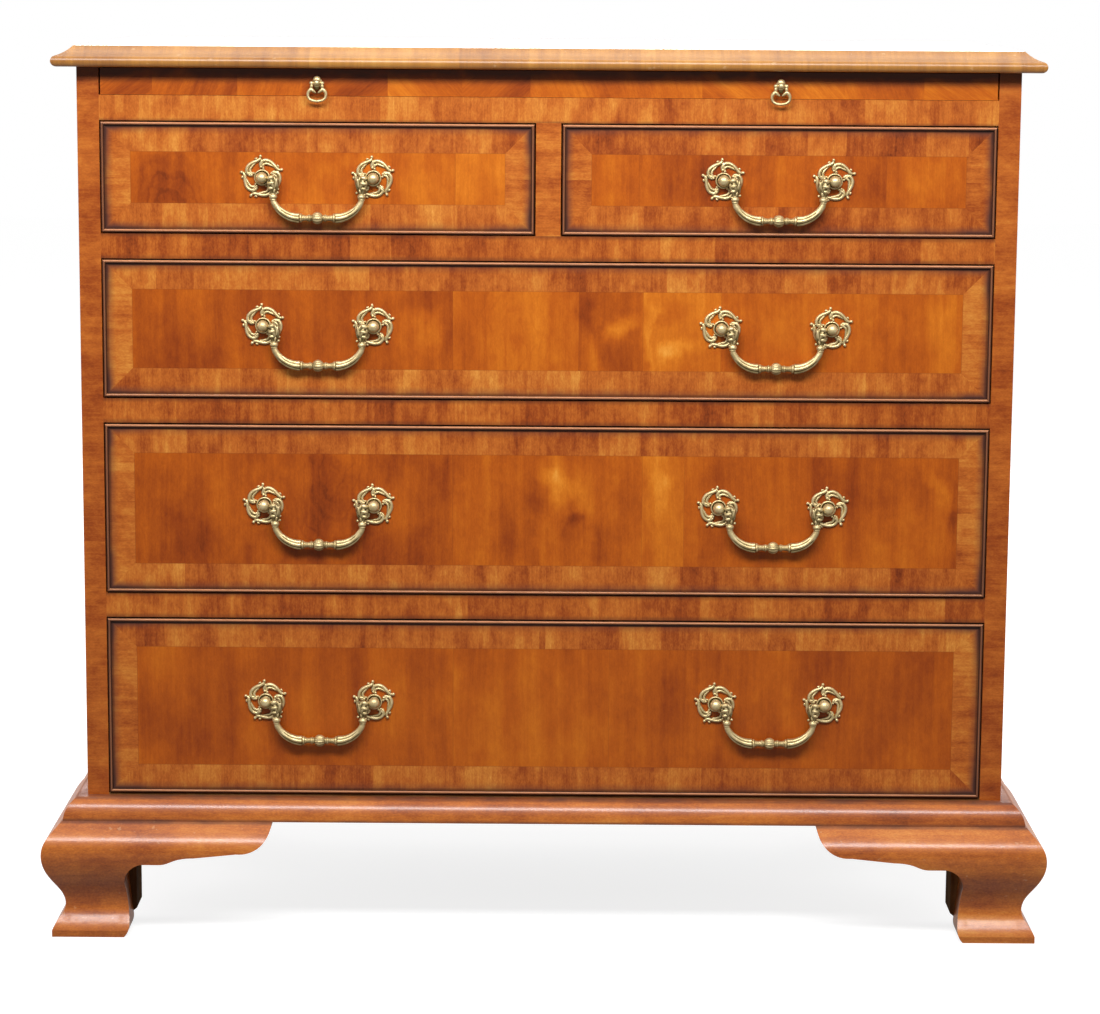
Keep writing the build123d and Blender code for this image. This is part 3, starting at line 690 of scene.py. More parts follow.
@dataclass(frozen=True)
class SideFinish(Finish):
    """Side panel: upright-grained veneer with a crossband, and cross grain on its front edge."""

    low: Vector
    high: Vector
    seed: float
    band_width: float = 0.045
    middle_height: float = 0.45
    shadow_colour: Colour = (0.080, 0.026, 0.012)

    def _paint(self, g: Graph) -> None:
        """Panel and front edge apart, a line inside the band and a shadow under the top.

        Args:
            g: The material's graph.
        """
        low, high = self.low, self.high
        place = g.place()
        x, y, z = place
        stile = abs(g.facing()[1]).above(0.7)
        panel = 1.0 - stile
        edge = MitredBand(y, z, (low.y, low.z), (high.y, high.z), self.band_width)
        plain = 1.0 - edge.band
        along, across = plain * z + edge.along, plain * y + edge.across
        depth = y.above((low.y + high.y) / 2) * 0.9 + edge.band * 4.1 + self.seed
        side_tone, side_pores = VENEER.markings(g, along, across, depth)
        piece = g.lengths(edge.across * 24.0 + self.seed)
        side_tone = side_tone + edge.band * (piece * 0.22 + 0.04)
        stile_tone, stile_pores = CROSSBAND.markings(g, x, z, z * 0.4 + self.seed)
        stile_tone = ((stile_tone - 0.5) * 0.8 + g.lengths(z * 5.0 + self.seed) * 0.12
                      + (z - self.middle_height) * 0.10 + 0.36)
        tone = stile * stile_tone + panel * side_tone
        pores = stile * stile_pores + panel * side_pores
        line = edge.nearest.near(self.band_width, 0.0008, 0.0001) * panel * 0.3
        colour = g.mix(stile, VENEER.colour(g, tone, pores), CROSSBAND.colour(g, tone, pores))
        colour = g.mix((high.z - z).rise(0.020, 0.002) * stile * 0.8, colour, self.shadow_colour)
        colour = g.mix(line, colour, SEAM_COLOUR)
        FRENCH_POLISH.close(g, colour, g.spots(place, 30.0), WOOD_HEIGHT - pores - line)


@dataclass(frozen=True)
class TopFinish(Finish):
    """Quarter-matched top with a stringing line and a wide crossband."""

    low: Vector
    high: Vector
    band_width: float = 0.055
    line_width: float = 0.0016
    line_colour: Colour = (0.620, 0.420, 0.190)
    seam_colour: Colour = (0.110, 0.035, 0.012)

    def _paint(self, g: Graph) -> None:
        """Four matched leaves inside a band and a pale line.

        Args:
            g: The material's graph.
        """
        low, high = self.low, self.high
        x, y, z = g.place()
        edge = MitredBand(x, y, (low.x, low.y), (high.x, high.y), self.band_width)
        plain = 1.0 - edge.band
        quarter_x, quarter_y = abs(x), abs(y - (low.y + high.y) / 2)
        field_tone, field_pores = VENEER.markings(g, quarter_y + quarter_x * 0.15, quarter_x, z + 11.0)
        band_tone, band_pores = CROSSBAND.markings(g, edge.along, edge.across, z + 5.0)
        band_tone = band_tone + g.lengths(edge.across * 18.0) * 0.25
        tone = plain * field_tone + edge.band * band_tone + 0.02
        pores = plain * field_pores + edge.band * band_pores
        stringing = edge.nearest.near(self.band_width, self.line_width, self.line_width * 0.6)
        seam = quarter_x.smallest(quarter_y).rise(0.0006, 0.0001) * plain * 0.3
        colour = g.mix(stringing, VENEER.colour(g, tone, pores), self.line_colour)
        colour = g.mix(seam, colour, self.seam_colour)
        FRENCH_POLISH.close(g, colour, g.noise(x * 7.0, y * 7.0, 3.0, 3.0), WOOD_HEIGHT - pores - seam)


@dataclass(frozen=True)
class MouldingFinish(Finish):
    """Moulding mitred at the front corners, its grain along or across its run."""

    half_width: float
    face_y: float
    seed: float
    timber: Timber
    polish: Polish
    across_run: bool = False
    segment_rate: float = 12.0
    segment: float = 0.2
    chips: float = 0.0
    tone: float = 0.0
    seam_z: tuple[float, ...] = ()
    dirt_colour: Colour = (0.085, 0.045, 0.038)
    chip_colour: Colour = (0.800, 0.560, 0.300)

    def _paint(self, g: Graph) -> None:
        """Grain that turns at the mitres, with dusty seams and pale chips.

        Args:
            g: The material's graph.
        """
        place = g.place()
        x, y, z = place
        at_side = (abs(x) - self.half_width).above(self.face_y - y)
        at_front = 1.0 - at_side
        run = at_side * y + at_front * x
        out = at_side * x + at_front * y
        along, across = (out + z * 0.6, run) if self.across_run else (run, z + out * 0.6)
        tone, pores = self.timber.markings(g, along, across, at_side * 2.3 + out * 0.3 + self.seed)
        piece = g.lengths(run * self.segment_rate + at_side * 9.0 + self.seed)
        colour = self.timber.colour(g, tone + piece * self.segment + self.tone, pores)
        smudge = g.spots(place, 45.0)
        dust = g.wire(0.0)
        for height in self.seam_z:
            dust = dust + z.near(height, 0.0030, 0.0006) * (smudge * 0.8 + 0.2)
        dust = dust.clamped()
        chip = g.noise(x * 130.0, y * 130.0, z * 210.0).rise(0.69, 0.74) * self.chips
        colour = g.mix(chip, g.mix(dust, colour, self.dirt_colour), self.chip_colour)
        self.polish.close(g, colour, smudge, WOOD_HEIGHT - pores - chip * 0.5, dust)


@dataclass(frozen=True)
class BoardFinish(Finish):
    """Plain inside timber, its boards told apart by tone."""

    grain: Run
    seed: float
    timber: Timber = OAK
    polish: Polish = WAXED
    board_width: float = 0.17
    tone: float = 0.0

    def _paint(self, g: Graph) -> None:
        """Boards side by side, with uneven dust.

        Args:
            g: The material's graph.
        """
        place = g.place()
        along, across, depth = (place[(self.grain.value + step) % 3] for step in range(3))
        board = g.chance(across / self.board_width + 40.0)
        tone, pores = self.timber.markings(g, along, across + depth * 0.5, board * 5.0 + depth + self.seed)
        dust = g.spots(place, 12.0, 4.0, 0.6)
        tone = tone + (board - 0.5) * 0.25 + (dust - 0.5) * 0.3 + self.tone
        self.polish.close(g, self.timber.colour(g, tone, pores), dust, WOOD_HEIGHT - pores)


@dataclass(frozen=True)
class BeadFinish(Finish):
    """Cock bead: dark polished edge-grain strip, with painted shade behind its nose and a coppery painted highlight,
    patchy with wear, along its nose.
    """

    face_y: float
    # Behind the nose the bead gets near-black painted shade; the coppery colour is a painted highlight with wear.
    nose_reach: float = 0.0013
    proud: float = 0.0025
    shade_behind_nose: Colour = (0.022, 0.007, 0.004)
    nose: Colour = (0.110, 0.034, 0.016)
    wear_and_highlight: Colour = (0.800, 0.340, 0.150)
    dull: Colour = (0.080, 0.030, 0.020)

    def _paint(self, g: Graph) -> None:
        """Painted shade behind the nose, brown at the nose, and a coppery painted highlight, patchy with wear, where
        the nose faces up or forward.

        Args:
            g: The material's graph.
        """
        place = g.place()
        x, y, z = place
        _, outwards, upwards = g.facing()
        nose = (self.face_y - self.proud + self.nose_reach - y).rise(0.0, self.nose_reach)
        rub = g.spots(place, 70.0, 3.0, 0.6)
        # Painted highlight where the nose faces up or forward, broken by rubbed patches.
        wear_and_highlight = nose * (upwards.rise(0.0, 0.60) + outwards.rise(-0.90, -0.995) * 0.30) * (rub * 0.6 + 0.62)
        colour = g.mix(wear_and_highlight, g.mix(nose, self.shade_behind_nose, self.nose), self.wear_and_highlight)
        colour = g.mix(g.noise(x * 9.0, 0.5, z * 9.0).rise(0.5, 0.8) * 0.30, colour, self.dull)
        BEAD_POLISH.close(g, colour, rub, rub)


@dataclass(frozen=True)
class BrassFinish(Finish):
    """Old lacquered brass: pale on what hands rub, olive brown in the hollows from dirt and painted shade, and painted
    shade on faces turned down.
    """

    name: str = "old_brass"
    wear_and_highlight: Colour = (0.840, 0.675, 0.365)
    body: Colour = (0.700, 0.545, 0.270)
    hollow: Colour = (0.125, 0.090, 0.028)
    metallic: float = 0.75

    def _paint(self, g: Graph) -> None:
        """Worn and dull patches, with dirt and painted shade in the hollows and painted shade on faces turned down.

        Args:
            g: The material's graph.
        """
        place = g.place()
        # The hollow attribute darkens recesses and the parts near the plate: dirt and painted shade.
        carved = g.wire(g.add("ShaderNodeAttribute", {"attribute_name": "hollow"}).outputs["Fac"])
        patches = g.spots(place, 190.0, 3.0, 0.6)
        # Painted shade on faces turned down.
        painted_shade_below = g.facing()[2].rise(0.30, -0.80) * 0.55
        dirt_and_shade = (carved * 1.05 + (patches - 0.50) * 0.55 + painted_shade_below).clamped()
        colour = g.mix(dirt_and_shade, g.mix(patches.rise(0.35, 0.65), self.wear_and_highlight, self.body), self.hollow)
        rough = dirt_and_shade * 0.16 + patches * 0.14 + 0.36
        g.surface({"Base Color": colour, "Metallic": self.metallic, "Roughness": rough.clamped()},
                  0.25, 0.00015, g.spots(place, 900.0))


@dataclass(frozen=True)
class FloorFinish(Finish):
    """Pale floor that reads white to the camera, and is darker to what the object takes in."""

    name: str = "pale_floor"
    bounce: float = 0.17
    seen: float = 0.40
    glow: float = 0.82
    mirrored: float = 0.3

    def _paint(self, g: Graph) -> None:
        """Matt grey for bounced light, and grey with a glow for the camera.

        Args:
            g: The material's graph.
        """
        rays = g.add("ShaderNodeLightPath").outputs
        seen = g.wire(rays["Is Camera Ray"]).largest(rays["Is Transmission Ray"])
        seen = seen.largest(g.wire(rays["Is Glossy Ray"]) * self.mirrored)
        matt, pale = (g.add("ShaderNodeBsdfDiffuse", None, {"Color": (*[level] * 3, 1.0)})
                      for level in (self.bounce, self.seen))
        glow = g.add("ShaderNodeEmission", None, {"Color": (*[self.glow] * 3, 1.0), "Strength": 1.0})
        both = g.add("ShaderNodeAddShader", None, [pale, glow])
        whole = g.add("ShaderNodeMixShader", None, [seen, matt, both])
        g.add("ShaderNodeOutputMaterial", None, {"Surface": whole})


def dress(node: str, material: bpy.types.Material) -> None:
    """Give a CAD node its material in every slot.

    Args:
        node: The node's name.
        material: Its finish.
    """
    piece = frame["nodes"][node]
    if not piece.material_slots:
        piece.data.materials.append(material)
    for material_slot in piece.material_slots:
        material_slot.material = material
    LOG.info("dressed %s with %s", node, material.name)


# Mesh tools


@dataclass
class Shell:
    """Closed surface as whole arrays: points, four-sided and three-sided faces, and hollows."""

    points: np.ndarray
    quads: np.ndarray
    fans: np.ndarray
    hollow: np.ndarray

    def moved(self, offset: np.ndarray | Point) -> "Shell":
        """The same shell shifted by an offset."""
        return Shell(self.points + np.asarray(offset), self.quads, self.fans, self.hollow)

    def stretched(self, x: float, y: float, z: float) -> "Shell":
        """The same shell with its points multiplied; the faces are set outwards later."""
        return Shell(self.points * (x, y, z), self.quads, self.fans, self.hollow)


def join(shells: list[Shell]) -> Shell:
    """Put shells together.

    Each shell's face numbers are raised by the count of the points before it.

    Args:
        shells: Any number of shells.

    Returns:
        One shell.
    """
    starts = np.cumsum([0] + [len(s.points) for s in shells])
    return Shell(
        np.concatenate([s.points for s in shells]),
        np.concatenate([s.quads + start for s, start in zip(shells, starts)]),
        np.concatenate([s.fans + start for s, start in zip(shells, starts)]),
        np.concatenate([s.hollow for s in shells]),
    )


def sweep(path: np.ndarray, side: np.ndarray, rise: np.ndarray, section: np.ndarray,
          ends: tuple[np.ndarray, np.ndarray], hollow: np.ndarray) -> Shell:
    """Carry a section along a path and close both ends.

    Point (i, j) is path[i] + section[i, j, 0] * side[i] + section[i, j, 1] * rise[i]. The faces
    join neighbours on that grid, and a fan of triangles joins each end ring to its end point.

    Args:
        path: Rows of points, (n, 3).
        side: First section direction at each row, (n, 3), or one for all.
        rise: Second section direction at each row, (n, 3), or one for all.
        section: Offsets, (n, m, 2).
        ends: The two points that close the ends.
        hollow: Hollow value of each grid point, (n, m).

    Returns:
        The closed shell.
    """
    rows, columns = section.shape[:2]
    side, rise = (np.broadcast_to(way, path.shape)[:, None, :] for way in (side, rise))
    grid = path[:, None, :] + section[..., :1] * side + section[..., 1:] * rise
    points = np.concatenate([grid.reshape(-1, 3), np.asarray(ends)])
    row, column = np.meshgrid(np.arange(rows - 1), np.arange(columns), indexing="ij")
    here, following = row * columns + column, row * columns + (column + 1) % columns
    quads = np.stack([here, following, following + columns, here + columns], axis=-1).reshape(-1, 4)
    ring = np.arange(columns)
    after = (ring + 1) % columns
    last = (rows - 1) * columns
    first_fan = np.stack([np.full(columns, rows * columns), after, ring], axis=-1)
    last_fan = np.stack([np.full(columns, rows * columns + 1), last + ring, last + after], axis=-1)
    values = np.concatenate([hollow.reshape(-1), [hollow[0].mean(), hollow[-1].mean()]])
    return Shell(points, quads, np.concatenate([first_fan, last_fan]), values)


def hollow_of(radius: np.ndarray, window: int = 4, depth: float = 0.35) -> np.ndarray:
    """How deep each ring of a turning lies below the widest of its neighbours.

    The value is the shortfall below the lower of the largest radii before and after, divided by a
    share of that radius, and kept between 0 and 1.

    Args:
        radius: Ring radii, (n,).
        window: How many rings to each side are compared.
        depth: Share of the radius that counts as fully hollow.

    Returns:
        Values between 0 and 1, (n,).
    """
    padded = np.pad(radius, window, mode="edge")
    largest = np.lib.stride_tricks.sliding_window_view(padded, window + 1).max(axis=1)
    rim = np.minimum(largest[:len(radius)], largest[window:])
    return np.clip((rim - radius) / (rim * depth + 1e-9), 0.0, 1.0)


def turning(profile: np.ndarray, axis: Point, sides: int = 24, origin: Point = ORIGIN, lobes: int = 0,
            lobe_depth: np.ndarray | float = 0.0, twist: float = 0.0, square: float = 0.0) -> Shell:
    """Turn a profile about an axis.

    The ring at place a along the axis has radius r * (1 + d * cos(lobes * (angle + twist * a))),
    and with square above 0 it is a square with rounded corners, r * (|cos|^p + |sin|^p)^(-1/p).

    Args:
        profile: Rows of (place along the axis, radius); the end rows have radius 0.
        axis: Direction of the axis.
        sides: Points round a ring.
        origin: Point that the places count from.
        lobes: How many lengthwise ridges.
        lobe_depth: Their depth as a share of the radius, one value or one a row.
        twist: How fast the ridges turn along the axis.
        square: Power of the rounded square, or 0 for a round.

    Returns:
        The closed shell.
    """
    direction = np.asarray(axis, float) / np.linalg.norm(axis)
    side = np.cross(Z_AXIS if abs(direction[2]) < 0.9 else Y_AXIS, direction)
    side /= np.linalg.norm(side)
    along, radius = profile[1:-1, 0], profile[1:-1, 1]
    angle = np.linspace(0.0, FULL_TURN, sides, endpoint=False)
    depth = np.broadcast_to(lobe_depth, profile.shape[:1])[1:-1, None]
    wave = np.cos(lobes * (angle + twist * along[:, None])) * (lobes > 0)
    swell = 1.0 + depth * wave
    if square:
        swell = swell * (abs(np.cos(angle))**square + abs(np.sin(angle))**square)**(-1 / square)
    ring = radius[:, None] * swell
    section = np.stack([ring * np.cos(angle), ring * np.sin(angle)], axis=-1)
    places = np.asarray(origin) + profile[:, :1] * direction
    hollow = np.clip(hollow_of(radius)[:, None] + np.clip(-wave, 0, 1) * depth * 5.0, 0, 1)
    return sweep(places[1:-1], side, np.cross(direction, side), section, (places[0], places[-1]), hollow)


def ball(centre: Point, radius: float, axis: Point = Z_AXIS, stretch: float = 1.0, sides: int = 16,
         rows: int = 11) -> Shell:
    """Ball or long bead: radius * sin(t) about the axis, at stretch * radius * cos(t) along it.

    Args:
        centre: Its middle.
        radius: Its radius about the axis.
        axis: Direction of its length.
        stretch: Half its length as a share of the radius.
        sides: Points round a ring.
        rows: Places along it, with both ends.

    Returns:
        The closed shell.
    """
    t = np.linspace(0.0, math.pi, rows)
    profile = radius * np.stack([-stretch * np.cos(t), np.sin(t)], axis=-1)
    return turning(profile, axis, sides, centre)


def smooth_profile(corners: Pairs, step: float) -> np.ndarray:
    """Fill a profile's straight runs with evenly spaced points and keep its corners.

    Args:
        corners: Rows of (place, radius).
        step: Distance between points.

    Returns:
        Rows of (place, radius).
    """
    rows = np.asarray(corners, float)
    lengths = np.linalg.norm(np.diff(rows, axis=0), axis=1)
    runs = [np.linspace(a, b, max(1, math.ceil(d / step)), endpoint=False)
            for a, b, d in zip(rows[:-1], rows[1:], lengths)]
    return np.concatenate([*runs, rows[-1:]])


def arc_profile(start: float, end: float, low: float, bulge: float, rows: int) -> np.ndarray:
    """Bead between two places: radius low + bulge * sin(t) while the place goes by -cos(t)."""
    t = np.linspace(0.0, math.pi, rows)
    return np.stack([(start + end - (end - start) * np.cos(t)) / 2, low + bulge * np.sin(t)], axis=-1)


def curve(corners: np.ndarray, count: int) -> np.ndarray:
    """Smooth path through points.

    Between the corners b and c, with a before and d after them, it is the cubic
    (2 b + (c - a) t + (2 a - 5 b + 4 c - d) t^2 + (3 b - 3 c + d - a) t^3) / 2.

    Args:
        corners: Points that the path meets, (n, k).
        count: How many points the path gets.

    Returns:
        The path, (count, k).
    """
    padded = np.concatenate([2 * corners[:1] - corners[1:2], corners, 2 * corners[-1:] - corners[-2:-1]])
    place = np.linspace(0.0, len(corners) - 1, count)
    first = np.minimum(place.astype(int), len(corners) - 2)
    t = (place - first)[:, None]
    a, b, c, d = (padded[first + k] for k in range(4))
    return (2 * b + (c - a) * t + (2 * a - 5 * b + 4 * c - d) * t**2 + (3 * b - 3 * c + d - a) * t**3) / 2


def wire_along(corners: np.ndarray, widths: tuple[float, ...], height: float, back: float,
               plane_y: float, count: int = 40, sides: int = 14) -> Shell:
    """Wire along a path in a plane Y = constant.

    Its section is width * cos(t) across and height * width * sin(t) towards -Y, and the part
    behind the plane is flattened to a share of that.

    Args:
        corners: Points (x, z) that the path meets.
        widths: Half widths, spread evenly along the path.
        height: Height of the front as a share of the half width.
        back: Height of the back as a share of the half width.
        plane_y: The plane.
        count: Rows along the path.
        sides: Points round the section.

    Returns:
        The closed wire.
    """
    flat = curve(corners, count)
    way = np.gradient(flat, axis=0)
    way /= np.linalg.norm(way, axis=1)[:, None]
    path = np.insert(flat, 1, plane_y, axis=1)
    side = np.insert(way[:, ::-1] * (1, -1), 1, 0.0, axis=1)
    half = np.interp(np.linspace(0.0, 1.0, count), np.linspace(0.0, 1.0, len(widths)), widths)
    around = np.linspace(0.0, FULL_TURN, sides, endpoint=False)
    lift = np.where(np.sin(around) > 0, height, back) * np.sin(around)
    section = half[:, None, None] * np.stack([np.cos(around), lift], axis=-1)[None]
    # Painted shade: the side of the wire towards the plate gets high hollow values and is darkened.
    hollow = np.broadcast_to(np.clip(0.45 - np.sin(around), 0.0, 0.8), section.shape[:2])
    return sweep(path, side, -np.array(Y_AXIS), section, (path[0], path[-1]), hollow)


def add_object(name: str, data: bpy.types.ID) -> bpy.types.Object:
    """Put data into the scene as an object.

    Args:
        name: The object's name.
        data: Its mesh, lamp or camera.

    Returns:
        The object.
    """
    thing = bpy.data.objects.new(name, data)
    bpy.context.scene.collection.objects.link(thing)
    return thing


def piece_from(shell: Shell, name: str, material: bpy.types.Material, body: str, nodes: list[str]) -> bpy.types.Object:
    """Make a shell a piece of the model.

    Args:
        shell: Its surface, in place, in millimetres.
        name: The piece's name.
        material: Its finish.
        body: The CAD body that it rides on.
        nodes: The CAD nodes that it stands for.

    Returns:
        The object.
    """
    mesh = bpy.data.meshes.new(name)
    mesh.from_pydata(shell.points * MM, [], [*map(tuple, shell.quads), *map(tuple, shell.fans)])
    builder = bmesh.new()
    builder.from_mesh(mesh)
    bmesh.ops.recalc_face_normals(builder, faces=builder.faces)
    builder.to_mesh(mesh)
    builder.free()
    attribute = mesh.attributes.new("hollow", "FLOAT", "POINT")
    attribute.data.foreach_set("value", shell.hollow.astype(np.float32))
    mesh.polygons.foreach_set("use_smooth", np.ones(len(mesh.polygons), bool))
    mesh.materials.append(material)
    mesh.update()
    piece = add_object(name, mesh)
    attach(piece, body)
    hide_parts(*nodes)
    LOG.info("made %s: %d faces on %s", name, len(mesh.polygons), body)
    return piece


# Handles


@dataclass
class Handle:
    """Swan-neck handle on two pierced roses; sizes in millimetres, about the middle of its pins."""

    spacing: float = 101.6
    ball_reach: float = 8.0
    ball_radius: float = 5.4
    front_thickness: float = 22.0
    nut_thickness: float = 3.0
    shank_show: float = 3.0
    lobe_count: int = 5
    first_tip: float = 22.0
    cup_profile: Pairs = (
        (0.2, 0.0), (0.2, 6.9), (-0.9, 7.4), (-1.9, 7.5), (-2.6, 7.1), (-2.9, 6.6), (-2.6, 6.1), (-1.5, 5.6),
        (-1.2, 4.4), (-1.1, 0.0),
    )
    cup_rim: float = 6.3
    outer_arm: Pairs = (
        (18.2, 0.0), (16.4, 5.0), (15.7, 15.0), (15.9, 28.0), (16.3, 41.0), (16.2, 53.0), (15.2, 64.0),
        (13.2, 72.0), (11.2, 76.0), (9.6, 74.0),
    )
    outer_widths: tuple[float, ...] = (1.20, 1.65, 1.75, 1.70, 1.70, 1.70, 1.60, 1.45, 1.20)
    inner_arm: Pairs = (
        (15.3, 12.0), (14.3, 24.0), (13.6, 36.0), (13.3, 48.0), (12.3, 58.0), (10.4, 64.0), (8.4, 61.0),
    )
    inner_widths: tuple[float, ...] = (0.80, 1.10, 1.25, 1.35, 1.30, 1.05)
    ball_y: float = -1.3
    ball_places: Pairs = ((19.2, 0.0), (18.1, 13.5), (12.9, -3.0), (9.6, 73.0), (8.5, 59.0))
    ball_sizes: Pairs = ((1.45, 1.12), (0.95, 1.55), (1.15, 3.3), (1.45, 1.0), (1.15, 1.2))
    post_foot: Pairs = ((1.0, 0.0), (1.0, 4.4), (-1.4, 4.6), (-2.2, 4.5), (-2.7, 3.6), (-3.3, 3.0))
    leaf_reach: float = 10.5
    leaf_profile: Pairs = (
        (2.6, 0.0), (2.3, 1.5), (1.2, 2.9), (-1.0, 4.0), (-3.2, 4.5), (-5.0, 4.6), (-7.2, 4.4), (-9.4, 3.9),
        (-11.4, 3.2), (-13.0, 2.5), (-14.2, 2.2), (-15.0, 0.0),
    )
    curls: tuple[Bead, ...] = (
        ((-2.3, -2.5, 0.3), 2.35, (1, -0.15, 0.30), 1.45),
        ((-1.9, -3.3, -4.6), 1.85, (1, -0.1, 0.22), 1.85),
        ((-1.9, -2.8, -9.2), 1.6, (1, -0.1, 0.20), 1.70),
        ((2.9, -2.6, -4.2), 1.25, (0.20, 0, 1), 3.6),
        ((1.3, -2.6, -11.6), 1.0, (0.2, 0, 1), 2.3),
        ((4.3, -1.0, -13.2), 1.25, Z_AXIS, 1.0),
        ((-3.0, -1.0, -15.0), 1.0, Z_AXIS, 1.0),
    )
    collar_drop: float = 16.9
    collar_ball: float = 3.9
    neck_profile: Pairs = ((-20.4, 0.0), (-20.4, 2.7), (-19.6, 3.1), (-18.6, 2.8), (-14.0, 2.3), (-13.6, 0.0))
    pin_radius: float = 1.5
    pin_gap: float = 1.5
    bend_drop: float = 18.8
    tight_radius: float = 9.0
    wide_radius: float = 26.0
    tight_angle: float = 30.0
    bail_radius: float = 2.95
    flute_radius: float = 4.55
    middle_drop: float = 36.3
    middle_end: Pairs = ((-17.2, 0.0), (-17.2, 3.2))
    middle_beads: tuple[tuple[float, float, float, float, int], ...] = (
        (-16.4, -13.9, 2.7, 1.6, 9), (-13.8, -12.9, 2.7, 0.5, 7), (-12.8, -12.1, 2.5, 0.35, 5),
        (-12.0, -11.2, 2.4, 0.3, 5), (-11.1, -10.3, 2.3, 0.3, 5), (-10.2, -9.4, 2.3, 0.3, 5),
        (-9.3, -8.2, 2.4, 0.5, 7), (-8.1, -6.3, 2.4, 1.1, 9), (-6.2, -5.2, 2.5, 0.6, 7),
    )
    middle_ball: tuple[float, float] = (5.6, 5.35)
    handled: float = 0.14

    def rose(self) -> Shell:
        """Pierced rose, facing -Y from the plane Y = 0.

        Each lobe is a forked arm that starts at its tip ball and curls in to the ring. The ring
        and the dished cup are turned.

        Returns:
            The rose about the post's axis.
        """
        lobes = [self._lobe(self.first_tip + 360.0 / self.lobe_count * k) for k in range(self.lobe_count)]
        cup = turning(smooth_profile(self.cup_profile, 0.8), Y_AXIS, 40)
        # Painted shade: the cup is darkened inside its rim, round the post's ball.
        from_middle = np.hypot(cup.points[:, 0], cup.points[:, 2])
        cup.hollow = np.clip((self.cup_rim - from_middle) / 0.5, 0.0, 1.0)
        return join([*lobes, cup])

    @staticmethod
    def _round(places: Pairs, start: float) -> np.ndarray:
        """Points at reach * (cos, sin) of an angle.

        Args:
            places: Pairs of reach and angle past the start, in degrees.
            start: Where the angles count from.

        Returns:
            Rows of (x, z).
        """
        reach, turn = np.transpose(places)
        turn = np.radians(start + turn)
        return np.stack([reach * np.cos(turn), reach * np.sin(turn)], axis=-1)

    def _lobe(self, degrees: float) -> Shell:
        """One lobe: an outer and an inner arm side by side, and five balls.

        The balls are the tip, the bud beside it, the stem behind it and the ends of both arms.
        Their places are reach and angle, and their sizes radius and stretch.

        Args:
            degrees: Direction of the lobe's tip ball.

        Returns:
            The lobe.
        """
        places = np.insert(self._round(self.ball_places, degrees), 1, self.ball_y, axis=1)
        outwards = places[0] * (1, 0, 1)
        onwards = places[1, ::-1] * (-1, 0, 1)
        axes = (outwards, onwards, outwards, Y_AXIS, Y_AXIS)
        return join([
            wire_along(self._round(self.outer_arm, degrees), self.outer_widths, 1.25, 0.2, -0.45),
            wire_along(self._round(self.inner_arm, degrees), self.inner_widths, 1.3, 0.2, -0.4),
            *(ball(place, radius, axis, stretch)
              for place, axis, (radius, stretch) in zip(places, axes, self.ball_sizes)),
        ])

    def post(self) -> Shell:
        """Ball-headed post with its collar, shank and square nut, along Y through the origin.

        Returns:
            The post.
        """
        arc = np.radians(np.linspace(32.0, 180.0, 16))
        head = self.ball_radius * np.stack([np.cos(arc), np.sin(arc)], axis=-1) - (self.ball_reach, 0.0)
        nut_start = self.front_thickness
        nut_end = nut_start + self.nut_thickness
        shank_end = nut_end + self.shank_show
        nut = ((nut_start, 0.0), (nut_start, 4.7), (nut_start + 0.4, 5.0), (nut_end - 0.5, 5.0),
               (nut_end, 4.4), (nut_end, 0.0))
        shank = ((nut_end - 0.5, 0.0), (nut_end - 0.5, 2.4), (shank_end - 0.6, 2.4), (shank_end, 1.8),
                 (shank_end, 0.0))
        return join([
            turning(smooth_profile((*self.post_foot, *head), 0.7), Y_AXIS, 28),
            turning(smooth_profile(nut, 0.8), Y_AXIS, 32, square=14.0),
            turning(smooth_profile(shank, 0.6), Y_AXIS, 20),
        ])

    def mounts(self, pins: list[np.ndarray]) -> Shell:
        """Roses, posts and nuts of the handles on one drawer.

        Args:
            pins: Middle of each handle's pins.

        Returns:
            All of them in place.
        """
        one = join([self.rose(), self.post()])
        return join([one.moved(pin + (sign * self.spacing / 2, self.ball_reach, 0))
                     for pin in pins for sign in (-1, 1)])

    def _bend(self) -> Shell:
        """Left bend of the bail below the leaf: two arcs from straight down to level, fluted.

        The path's direction turns from 0 to 90 degrees; each arc's points are its start plus
        radius * (cos(start) - cos(turn), sin(start) - sin(turn)). The tube thickens on the way.

        Returns:
            The tube, about the leaf's axis.
        """
        split = math.radians(self.tight_angle)
        turn = np.concatenate([np.linspace(0.0, split, 10, endpoint=False),
                               np.linspace(split, math.pi / 2, 34)])
        tight, wide = np.minimum(turn, split), np.maximum(turn, split)
        still = np.zeros(len(turn))
        right = self.tight_radius * (1 - np.cos(tight)) + self.wide_radius * (math.cos(split) - np.cos(wide))
        down = self.tight_radius * np.sin(tight) + self.wide_radius * (np.sin(wide) - math.sin(split))
        path = np.stack([right, still, -down - self.bend_drop], axis=-1)
        side = np.stack([np.cos(turn), still, np.sin(turn)], axis=-1)
        share = np.linspace(0.0, 1.0, len(turn))
        radius = self.bail_radius - 0.35 + (self.flute_radius - self.bail_radius + 0.3) * share**1.2
        around = np.linspace(0.0, FULL_TURN, 48, endpoint=False)
        flutes = np.clip((share - 0.34) / 0.14, 0, 1) * 0.095
        ridge = 2.0 * abs(np.cos(3 * around + math.pi / 2)) - 1.0
        wave = ridge * flutes[:, None]
        ring = radius[:, None] * (1.0 + wave)
        section = np.stack([ring * np.cos(around), ring * np.sin(around)], axis=-1)
        ends = (path[0] + (0, 0, 0.5), path[-1])
        return sweep(path, side, np.array(Y_AXIS), section, ends, np.clip(-wave * 12.0, 0, 1))

